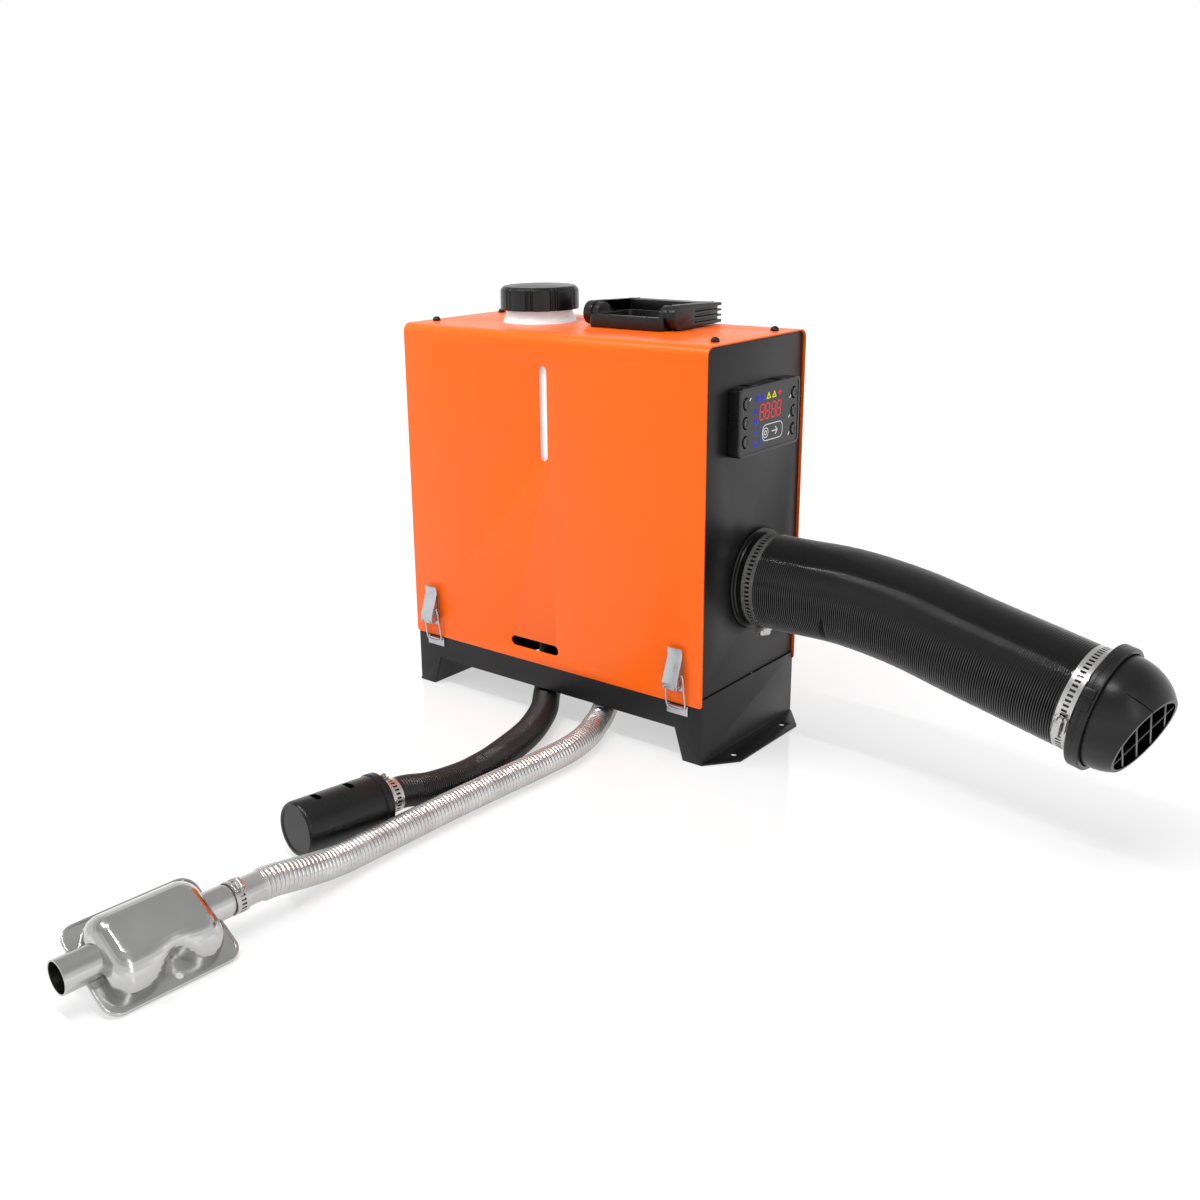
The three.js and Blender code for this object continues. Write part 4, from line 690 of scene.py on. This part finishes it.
# %% Turn the filter
filter_profile = [(0, -14), (11.3, -14), (11.3, 0.8), (24.2, 0.8), (25, 1.6), (25, 7.4), (24.4, 8),
                  (23.6, 8.3), (23.6, 9.5), (24, 10), (24, 83), (23.6, 84.4), (22.4, 86), (20, 86),
                  (19.4, 85.2), (0, 85.2)]
drum = put(turn(filter_profile, 72), seat(INTAKE_ROUTE[-1], intake_axis))
for part in (0.3, 0.72):
    middle = INTAKE_ROUTE[-1] + intake_axis * (8 + 78 * part) * MM
    window = put(plate(rounded(-6, -3, 6, 3, 2.6), 14, 34), Matrix.Translation(middle))
    drum = carve(drum, window)
intake_filter = dress("intake_filter_drum", drum, moulded_black,
                      replaces=["intake_filter"], crease=28)
print("filter length 86 mm")

# %% Both hoses stay on the housing
print("both hoses ride on the housing")

# %% [markdown]
# ## Floor, world and lights
# The product stands on a glossy white table in a white room. The floor and the world show as
# white to the camera and in reflections. Two soft boxes light the object, and two strips draw
# the long highlights on the duct and the dark parts.

# %% Floor
floor_shape = bmesh.new()
bmesh.ops.create_grid(floor_shape, x_segments=1, y_segments=1, size=9)
floor_mesh = bpy.data.meshes.new("white_floor")
floor_shape.to_mesh(floor_mesh)
floor_shape.free()
floor_mesh.transform(Matrix.Translation(mm(0, 0, -0.3)))
floor = bpy.data.objects.new("white_floor", floor_mesh)
scene.collection.objects.link(floor)
table = bpy.data.materials.new("white_table")
table.use_nodes = True
nodes, links = table.node_tree.nodes, table.node_tree.links
plain = nodes["Principled BSDF"]
plain.inputs["Base Color"].default_value = (0.9, 0.9, 0.9, 1)
plain.inputs["Roughness"].default_value = 0.5
gloss = nodes.new("ShaderNodeBsdfPrincipled")
gloss.inputs["Base Color"].default_value = (0.4, 0.4, 0.4, 1)
gloss.inputs["Roughness"].default_value = 0.07
gloss.inputs["Specular IOR Level"].default_value = 0.6
glow, path = nodes.new("ShaderNodeEmission"), nodes.new("ShaderNodeLightPath")
glow.inputs["Strength"].default_value = 0.56
lit, blend, seen = (nodes.new("ShaderNodeAddShader"), nodes.new("ShaderNodeMixShader"),
                    nodes.new("ShaderNodeMath"))
seen.operation = "MAXIMUM"
links.new(path.outputs["Is Camera Ray"], seen.inputs[0])
links.new(path.outputs["Is Glossy Ray"], seen.inputs[1])
links.new(gloss.outputs[0], lit.inputs[0])
links.new(glow.outputs[0], lit.inputs[1])
links.new(seen.outputs[0], blend.inputs[0])
links.new(plain.outputs[0], blend.inputs[1])
links.new(lit.outputs[0], blend.inputs[2])
links.new(blend.outputs[0], nodes["Material Output"].inputs["Surface"])
floor_mesh.materials.append(table)
print("floor at", floor_mesh.vertices[0].co.z)

# %% World
world = bpy.data.worlds.new("white_room")
scene.world = world
world.use_nodes = True
nodes, links = world.node_tree.nodes, world.node_tree.links
room = nodes["Background"]
room.inputs["Color"].default_value = (1, 1, 1, 1)
path, seen, level = (nodes.new("ShaderNodeLightPath"), nodes.new("ShaderNodeMath"),
                     nodes.new("ShaderNodeMapRange"))
seen.operation = "MAXIMUM"
level.inputs["To Min"].default_value = 0.4
level.inputs["To Max"].default_value = 1.0
ceiling, sky, height = (nodes.new("ShaderNodeMapRange"), nodes.new("ShaderNodeTexCoord"),
                        nodes.new("ShaderNodeSeparateXYZ"))
ceiling.inputs["From Min"].default_value = 0.3
ceiling.inputs["From Max"].default_value = 0.62
ceiling.inputs["To Min"].default_value = 1.0
ceiling.inputs["To Max"].default_value = 0.22
dimmed, shown = nodes.new("ShaderNodeMath"), nodes.new("ShaderNodeMath")
dimmed.operation = "MULTIPLY"
shown.operation = "MAXIMUM"
links.new(sky.outputs["Generated"], height.inputs[0])
links.new(height.outputs["Z"], ceiling.inputs["Value"])
links.new(path.outputs["Is Glossy Ray"], seen.inputs[0])
links.new(path.outputs["Is Transmission Ray"], seen.inputs[1])
links.new(seen.outputs[0], dimmed.inputs[0])
links.new(ceiling.outputs["Result"], dimmed.inputs[1])
links.new(dimmed.outputs[0], shown.inputs[0])
links.new(path.outputs["Is Camera Ray"], shown.inputs[1])
links.new(shown.outputs[0], level.inputs["Value"])
links.new(level.outputs["Result"], room.inputs["Strength"])
print("world set")


# %% Lamps
# A lamp that isn't mirrored lights the object but leaves no bright patch on metal.
def lamp(name, position, target, size, power, mirrored=False):
    light = bpy.data.lights.new(name, "AREA")
    light.shape = "RECTANGLE"
    light.size, light.size_y = size
    light.energy = power
    holder = bpy.data.objects.new(name, light)
    scene.collection.objects.link(holder)
    holder.visible_glossy = mirrored
    direction = Vector(position) - Vector(target)
    holder.matrix_world = (Matrix.Translation(position)
                           @ direction.to_track_quat("Z", "Y").to_matrix().to_4x4())


lamp("front_softbox", (-1.3, -2.2, 1.9), (0, 0, 0.2), (1.6, 1.6), 25)
lamp("top_softbox", (0.2, -0.3, 2.4), (0.1, -0.2, 0.1), (1.8, 1.2), 22)
lamp("side_strip", (2.2, -1.0, 1.2), (0.2, -0.1, 0.2), (0.35, 1.8), 5, mirrored=True)
lamp("duct_strip", (-0.1, -0.75, 1.75), (-0.1, 0, 0.15), (1.8, 0.035), 16, mirrored=True)
scene.view_settings.view_transform = "Standard"
print("four lamps")

# %% [markdown]
# ## Sheet metal
# The shell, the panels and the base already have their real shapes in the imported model. A copy
# is merged into clean faces, and its edges get the small radius that a powder coat leaves.

# %% Sheets
refine("shell", orange_paint, 0.35)
refine("left_panel", black_paint, 0.3)
refine("right_panel", black_paint, 0.3)
refine("base_frame", black_paint, 0.35)
refine("chassis_pan", black_paint, 0.3)
print("sheets dressed")

# %% [markdown]
# ## Top screws
# Four button-head screws with a hexagon socket hold the top of the shell.

# %% Turn one screw and copy it
for number in (1, 2, 3, 4):
    low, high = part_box(f"top_screw_{number}")
    button = turn([(0, -9), (2, -9), (2, 0.3), (4.1, 0.3), (4.3, 0.9), (3.9, 2.6), (2.9, 3.9),
                   (1.8, 4.5), (0, 4.6)], 36)
    socket = turn([(0, 2.4), (1.5, 2.4), (1.5, 6), (0, 6)], 6)
    centre = (low + high) / 2
    place = Matrix.Translation(Vector((centre.x, centre.y, 0.4)))
    dress(f"button_screw_{number}", put(carve(button, socket), place), moulded_black,
          replaces=[f"top_screw_{number}"])
print("screws at", [round(v, 3) for v in centre])

# %% [markdown]
# ## Filler neck and cap
# The tank's white neck stands through the shell, and its cap has ten grip lobes with a pair of
# grooves between them. The cap is one dense outline raised through a few levels, then hollowed.

# %% Neck
NECK_PLACE = Matrix.Translation(mm(-79.5, 5, 0))
neck = turn([(36, 385), (38.3, 386), (38.4, 400.8), (37.8, 402), (34.6, 409.2), (34.2, 411),
             (33.1, 411.4), (33.1, 430.6), (30, 430.6), (30, 385)], 96, True)
dress("filler_neck", put(neck, NECK_PLACE), tank_white_painted_glow)

# %% Cap
CAP_STEPS, LOBES, GROOVE_HALF = 360, 10, 0.055


def cap_level(radius, groove, z):
    points = []
    for k in range(CAP_STEPS):
        part = (k * LOBES / CAP_STEPS) % 1
        depth = sum(groove * max(0.0, 1 - ((part - centre) / GROOVE_HALF) ** 2) ** 0.5
                    for centre in (0.1, 0.3) if abs(part - centre) < GROOVE_HALF)
        swell = -0.5 * abs(math.sin(math.pi * (part - 0.2)))
        angle = k / CAP_STEPS * math.tau
        r = radius - depth - (swell + 0.5 if groove else 0)
        points.append(mm(r * math.cos(angle), r * math.sin(angle), z))
    return points


cap_shape = rise([cap_level(*level) for level in (
    (41.0, 1.6, 413), (41.5, 1.6, 413.8), (41.3, 1.6, 431.5), (40.6, 1.5, 433.4),
    (39.0, 0.9, 435.2), (37.3, 0, 436.4), (36, 0, 436.7), (21, 0, 437.7), (19, 0, 437.9),
    (18.6, 0, 437.2), (18, 0, 437.0))])
hollow = turn([(0, 405), (33.8, 405), (33.8, 433.5), (0, 433.5)], 96)
cap_shape = put(carve(cap_shape, hollow), NECK_PLACE)
dress("filler_cap_lobed", cap_shape, moulded_black, body="cap", replaces=["filler_cap"],
      crease=30)
print("cap outline of", CAP_STEPS, "points")

# %% [markdown]
# ## Carry handle and latches
# Handle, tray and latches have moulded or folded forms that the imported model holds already, so
# they are refined with soft edges. The latch wire is laid anew, because a round wire shows its
# thickness in the light.

# %% Handle
refine("handle_base", moulded_black, 0.45, segments=3)
refine("carry_handle", moulded_black, 0.5, segments=3)
print("handle dressed")

# %% Latches
for number, (sx, sy) in enumerate(((-1, -1), (1, -1), (-1, 1), (1, 1)), start=1):
    refine(f"latch_mount_{number}", zinc, 0.15)
    refine(f"latch_lever_{number}", zinc, 0.18)
    refine(f"latch_catch_{number}", zinc, 0.2)
    half, points = 10.4, []
    for side in (-1, 1):
        arm = [(side * 6.7, -7, 91), (side * (half - 0.8), -7, 91), (side * half, -6.9, 89.5),
               (side * half, -4.3, 73), (side * half, -2.2, 57.5), (side * (half - 1.5), -2.1, 55)]
        points += arm if side < 0 else arm[::-1]
    place = (Matrix.Translation(mm(sx * 162, sy * 87, 0))
             @ Matrix.Rotation(math.pi if sy > 0 else 0, 4, "Z"))
    wire_at, wire_length, _ = follow([mm(*point) for point in points])
    length = wire_length / MM
    wire = turn([(0, 0)] + [(0.95, length * k / 90) for k in range(91)] + [(0, length)], 12)
    dress(f"latch_wire_{number}", put(lay(wire, wire_at), place), zinc, body=f"bail_{number}",
          replaces=[f"latch_bail_{number}"], crease=50)
print("latches dressed")

# %% [markdown]
# ## Controller
# The controller is a flat box with a soft rim and six oval keys in wells. Its display shows four
# digits and a few generic signs, which are thin strokes laid on the face.

# %% Case and keys
PANEL, FACE = 187.9, 200.9
DISPLAY = FACE - 0.5
KEY_STRETCH = 1.18
ONTO_FACE = Matrix(((0, 0, 1, 0), (1, 0, 0, 0), (0, 1, 0, 0), (0, 0, 0, 1)))
case = plate(rounded(-49, 294.6, 59, 358.6, 5, 8), PANEL, FACE, 1.2, 4)
case = carve(case, plate(rounded(-46, 297.6, 56, 355.6, 3.6, 8), DISPLAY, FACE + 3))
for y in (-22, 30):
    case = merge(case, block(y - 5, y + 5, 293.9, 295.5, 188, 198.5, 0.5),
                 block(y - 5, y + 5, 357.7, 359.3, 188, 198.5, 0.5))
for number in range(1, 7):
    low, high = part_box(f"controller_key_{number}")
    centre = (low + high) / 2 / MM
    well = turn([(0, -4), (5.2, -4), (5.2, -0.6), (5.8, 1), (0, 1)], 40)
    place = (Matrix.Translation(mm(centre.y, centre.z, FACE))
             @ Matrix.Diagonal((1, KEY_STRETCH, 1, 1)))
    case = carve(case, put(well, place))
    key = turn([(0, -2.2), (4.4, -2.2), (4.4, -0.2), (4.1, 0.5), (3.4, 0.75), (2.6, 0.45),
                (0, 0.1)], 40)
    dress(f"soft_key_{number}", put(put(key, place), ONTO_FACE), key_black, body=f"key_{number}",
          replaces=[f"controller_key_{number}"])
dress("controller_box", put(case, ONTO_FACE), controller_black, replaces=["controller_case"])


# %% Strokes of the display
def stroke(points, width=0.8, closed=False):
    pairs = list(zip(points, points[1:] + (points[:1] if closed else [])))
    bars = []
    for (x0, y0), (x1, y1) in pairs:
        length = math.hypot(x1 - x0, y1 - y0) + width * 0.4
        bar = block(-length / 2, length / 2, -width / 2, width / 2, -0.3, 0.15)
        turn_by = Matrix.Rotation(math.atan2(y1 - y0, x1 - x0), 4, "Z")
        middle = mm((x0 + x1) / 2, (y0 + y1) / 2, DISPLAY)
        bars.append(put(bar, Matrix.Translation(middle) @ turn_by))
    return merge(*bars)


def circle(x, y, radius, count=14):
    angles = [k / count * math.tau for k in range(count)]
    return [(x + radius * math.cos(angle), y + radius * math.sin(angle)) for angle in angles]


DIGIT_WIDTH, DIGIT_HEIGHT, DIGIT_SLANT, DIGIT_GAP = 7, 14.0, 1.2, 0.14


def digit(x0, y0):
    x1, y1, y2 = x0 + DIGIT_WIDTH, y0 + DIGIT_HEIGHT / 2, y0 + DIGIT_HEIGHT
    segments = (((x0, y2), (x1, y2)), ((x1, y2), (x1, y1)), ((x1, y1), (x1, y0)),
                ((x0, y0), (x1, y0)), ((x0, y1), (x0, y0)), ((x0, y2), (x0, y1)),
                ((x0, y1), (x1, y1)))
    lines = []
    for (ax, ay), (bx, by) in segments:
        ends = [(ax + (bx - ax) * t, ay + (by - ay) * t) for t in (DIGIT_GAP, 1 - DIGIT_GAP)]
        lines.append(stroke([(px + DIGIT_SLANT * (py - y0) / DIGIT_HEIGHT, py)
                             for px, py in ends], 1.5))
    return merge(*lines)


digits = merge(*[digit(x, 326) for x in (-14, -4.5, 6.5, 16)])
colon = merge(stroke([(4, 330), (4, 331)], 1.2), stroke([(4.4, 336), (4.4, 337)], 1.2))
dress("display_digits", put(merge(digits, colon, stroke(circle(21.5, 347.5, 2.2, 4), 1, True),
                                  stroke([(18, 347.5), (25, 347.5)], 1.0)), ONTO_FACE),
      lit_red)
blue = [stroke(circle(-18, 346.5, 2.6), 1.2, True), stroke(circle(-9, 347.5, 2), 1.0, True),
        stroke([(-11, 344), (-6, 344)], 1.2), stroke(circle(-20.5, 335, 2.4), 1.0, True),
        stroke(circle(-20.5, 325, 2.4), 1.0, True), stroke([(-22.5, 316), (-18, 316)], 1.2),
        stroke([(-20.4, 318.5), (-20.4, 312)], 1.2), stroke(circle(-20.5, 304, 2.2), 1.0, True),
        stroke([(-13.5, 319), (-10, 319)], 1.2), stroke([(-12, 309), (-12, 303)], 1.4)]
dress("display_blue", put(merge(*blue), ONTO_FACE), lit_blue)
yellow = [stroke([(x - 3.2, 344.6), (x + 3.2, 344.6), (x, 350)], 0.9, True) for x in (1.5, 11.5)]
yellow += [stroke([(x, 346), (x, 348)], 0.7) for x in (1.5, 11.5)]
dress("display_yellow", put(merge(*yellow), ONTO_FACE), lit_yellow)
white = [stroke(rounded(-8, 305, 28, 320, 5.5, 4), 0.8, True),
         stroke(circle(-2.5, 312.5, 4.6), 0.8, True), stroke(circle(-2.5, 312.5, 2), 0.8, True),
         stroke([(9, 312.5), (18, 312.5)], 1.1), stroke([(15, 316), (18.6, 312.5), (15, 309)], 1.1)]
white += [stroke([(x - 1, y - 1), (x + 1, y + 1)], 1.2)
          for x, y in ((-31, 347.5), (40, 322), (40, 305.5), (41, 341))]
dress("display_white", put(merge(*white), ONTO_FACE), print_white_painted_glow)
print("display has 4 digits and", len(white), "white strokes")

# %% [markdown]
# ## Outlet and vent
# The duct starts on a moulded collar and ends in a ring that carries a turning hood. The hood's
# mouth is cut slanting and closed by a grille of slim bars.

# %% Collar
collar = turn([(36, 0), (50.5, 0), (50.5, 1.5), (49.8, 2.4), (47, 2.6), (46.4, 4), (44.6, 4.2),
               (38.2, 4.2), (38.2, 25), (36, 25)], 96, True)
dress("outlet_ring", put(collar, seat(mm(PANEL, 12.3, 165), X_AXIS)), moulded_black,
      replaces=["outlet_collar"])

# %% Vent ring
vent = turn([(36, -20), (38.2, -20), (38.2, 0.3), (53.6, 0.3), (54.5, 1.2), (54.5, 4.4),
             (54, 4.9), (54, 5.7), (54.5, 6.2), (54.5, 11.4), (53.6, 12.3), (50.6, 12.3),
             (50.6, 4.4), (36, 4.4)], 112, True)
lugs = [put(block(53.4, 56.2, -4, 4, 0.9, 10.8, 0.7), Matrix.Rotation(math.radians(angle), 4, "Z"))
        for angle in (59, 70)]
vent_place = seat(DUCT_END, DUCT_AXIS, Z_AXIS)
dress("vent_ring_turned", put(merge(vent, *lugs), vent_place), moulded_black,
      replaces=["vent_ring"])
print("ring with", len(lugs), "lugs")

# %% Vent hood
HOOD, WALL, REACH, HOOD_BASE = 49.5, 2.2, 47.0, 5.3
SHOULDER = HOOD_BASE + 9
DOME_STEPS = 14
SLANT, LADDER_TURN = math.radians(14.2), math.radians(47.3)


def dome(radius, reach, low):
    points = [(0, low), (radius, low), (radius, SHOULDER)]
    for k in range(1, DOME_STEPS):
        angle = k / DOME_STEPS * math.pi / 2
        points.append((radius * math.cos(angle), SHOULDER + reach * math.sin(angle)))
    return turn(points + [(0, SHOULDER + reach)], 96)


down = (Vector((0, 0, -1)) + DUCT_AXIS * DUCT_AXIS.z).normalized()
to_viewer = Vector((0, -1, 0)) + DUCT_AXIS * DUCT_AXIS.y
to_viewer = (to_viewer - down * to_viewer.dot(down)).normalized()
lean = (down + to_viewer * 0.5).normalized()
mouth_out = DUCT_AXIS * math.cos(SLANT) + lean * math.sin(SLANT)
climb = (Z_AXIS - mouth_out * mouth_out.z).normalized()
aside = climb.cross(mouth_out)
mouth = DUCT_END + DUCT_AXIS * (HOOD_BASE + 40.3) * MM - climb * 7.5 * MM - aside * 4 * MM
ladder = climb * math.cos(LADDER_TURN) + aside * math.sin(LADDER_TURN)
rung = ladder.cross(mouth_out)
on_axis = seat(DUCT_END, DUCT_AXIS)
shell_dome = carve(put(dome(HOOD, REACH, HOOD_BASE), on_axis),
                   put(dome(HOOD - WALL, REACH - WALL, HOOD_BASE - 1), on_axis))
everything = shell_dome.verts[:] + shell_dome.edges[:] + shell_dome.faces[:]
bmesh.ops.bisect_plane(shell_dome, geom=everything, dist=SAME_PLACE, plane_co=mouth,
                       plane_no=mouth_out, clear_outer=True)
rim_edges = [edge for edge in shell_dome.edges if edge.is_boundary]
bmesh.ops.bridge_loops(shell_dome, edges=rim_edges)
bmesh.ops.recalc_face_normals(shell_dome, faces=shell_dome.faces)
seam = plate([(48.4, 24.5), (46.4, 28), (41.7, 36.8), (37.3, 43.5), (32.5, 47.7), (28, 51),
              (60, 51), (60, 24.5)], -0.6, 0.6)
upward = (Z_AXIS - DUCT_AXIS * DUCT_AXIS.z).normalized()
radial = Matrix.Rotation(math.radians(44), 3, DUCT_AXIS) @ upward
cut_place = Matrix((radial, DUCT_AXIS, radial.cross(DUCT_AXIS))).transposed().to_4x4()
cut_place.translation = DUCT_END
shell_dome = carve(shell_dome, put(seam, cut_place))


FARTHEST, PROBE_STEP = 120 * MM, 0.3 * MM


def reach_inside(start, direction):
    distance = 0.0
    while distance < FARTHEST:
        point = start + direction * distance - DUCT_END
        height = point.dot(DUCT_AXIS) / MM
        radius = (point - DUCT_AXIS * point.dot(DUCT_AXIS)).length / MM
        above = max(0.0, (height - SHOULDER) / (REACH - 1))
        limit = (HOOD - 1.0) * math.sqrt(max(0.0, 1 - above ** 2))
        if radius > limit or height < HOOD_BASE + 1:
            break
        distance += PROBE_STEP
    return distance / MM


bars = []
for way, other, places, depth in ((rung, ladder, (-24, -8, 8, 24), 1.8), (ladder, rung, (0,), 2.0)):
    for offset in places:
        start = mouth + other * offset * MM - mouth_out * depth * MM
        bar = block(-reach_inside(start, -way), reach_inside(start, way), -1.0, 1.0, -1.3, 1.3,
                    0.4)
        bar_place = Matrix((way, mouth_out.cross(way), mouth_out)).transposed().to_4x4()
        bar_place.translation = start
        bars.append(put(bar, bar_place))
dress("vent_hood_grille", merge(shell_dome, *bars), moulded_black, body="vent_turn",
      replaces=["vent_hood"], crease=30)
print("grille of", len(bars), "bars")

# %% [markdown]
# ## Inner parts
# The burner, the blower and the tank lie inside the box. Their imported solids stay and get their
# finishes, since only slivers of them are ever seen.

# %% Finish the inner parts
INNER = {
    "fuel_tank": tank_white_painted_glow, "filler_gasket": seal_black, "heater_casing": moulded_black,
    "heater_bracket": black_paint, "heat_exchanger": cast, "blower_motor": cast,
    "blower_rotor": moulded_black, "glow_plug": cast, "control_board": board, "fuel_pump": cast,
    "fuel_line_tank": fuel_hose, "fuel_line_burner": fuel_hose, "tank_shelf": black_paint,
}
for node, look in INNER.items():
    solid = frame["nodes"][node]
    solid.data.materials.clear()
    solid.data.materials.append(look)
    for face in solid.data.polygons:
        face.material_index = 0
print("inner parts", len(INNER))
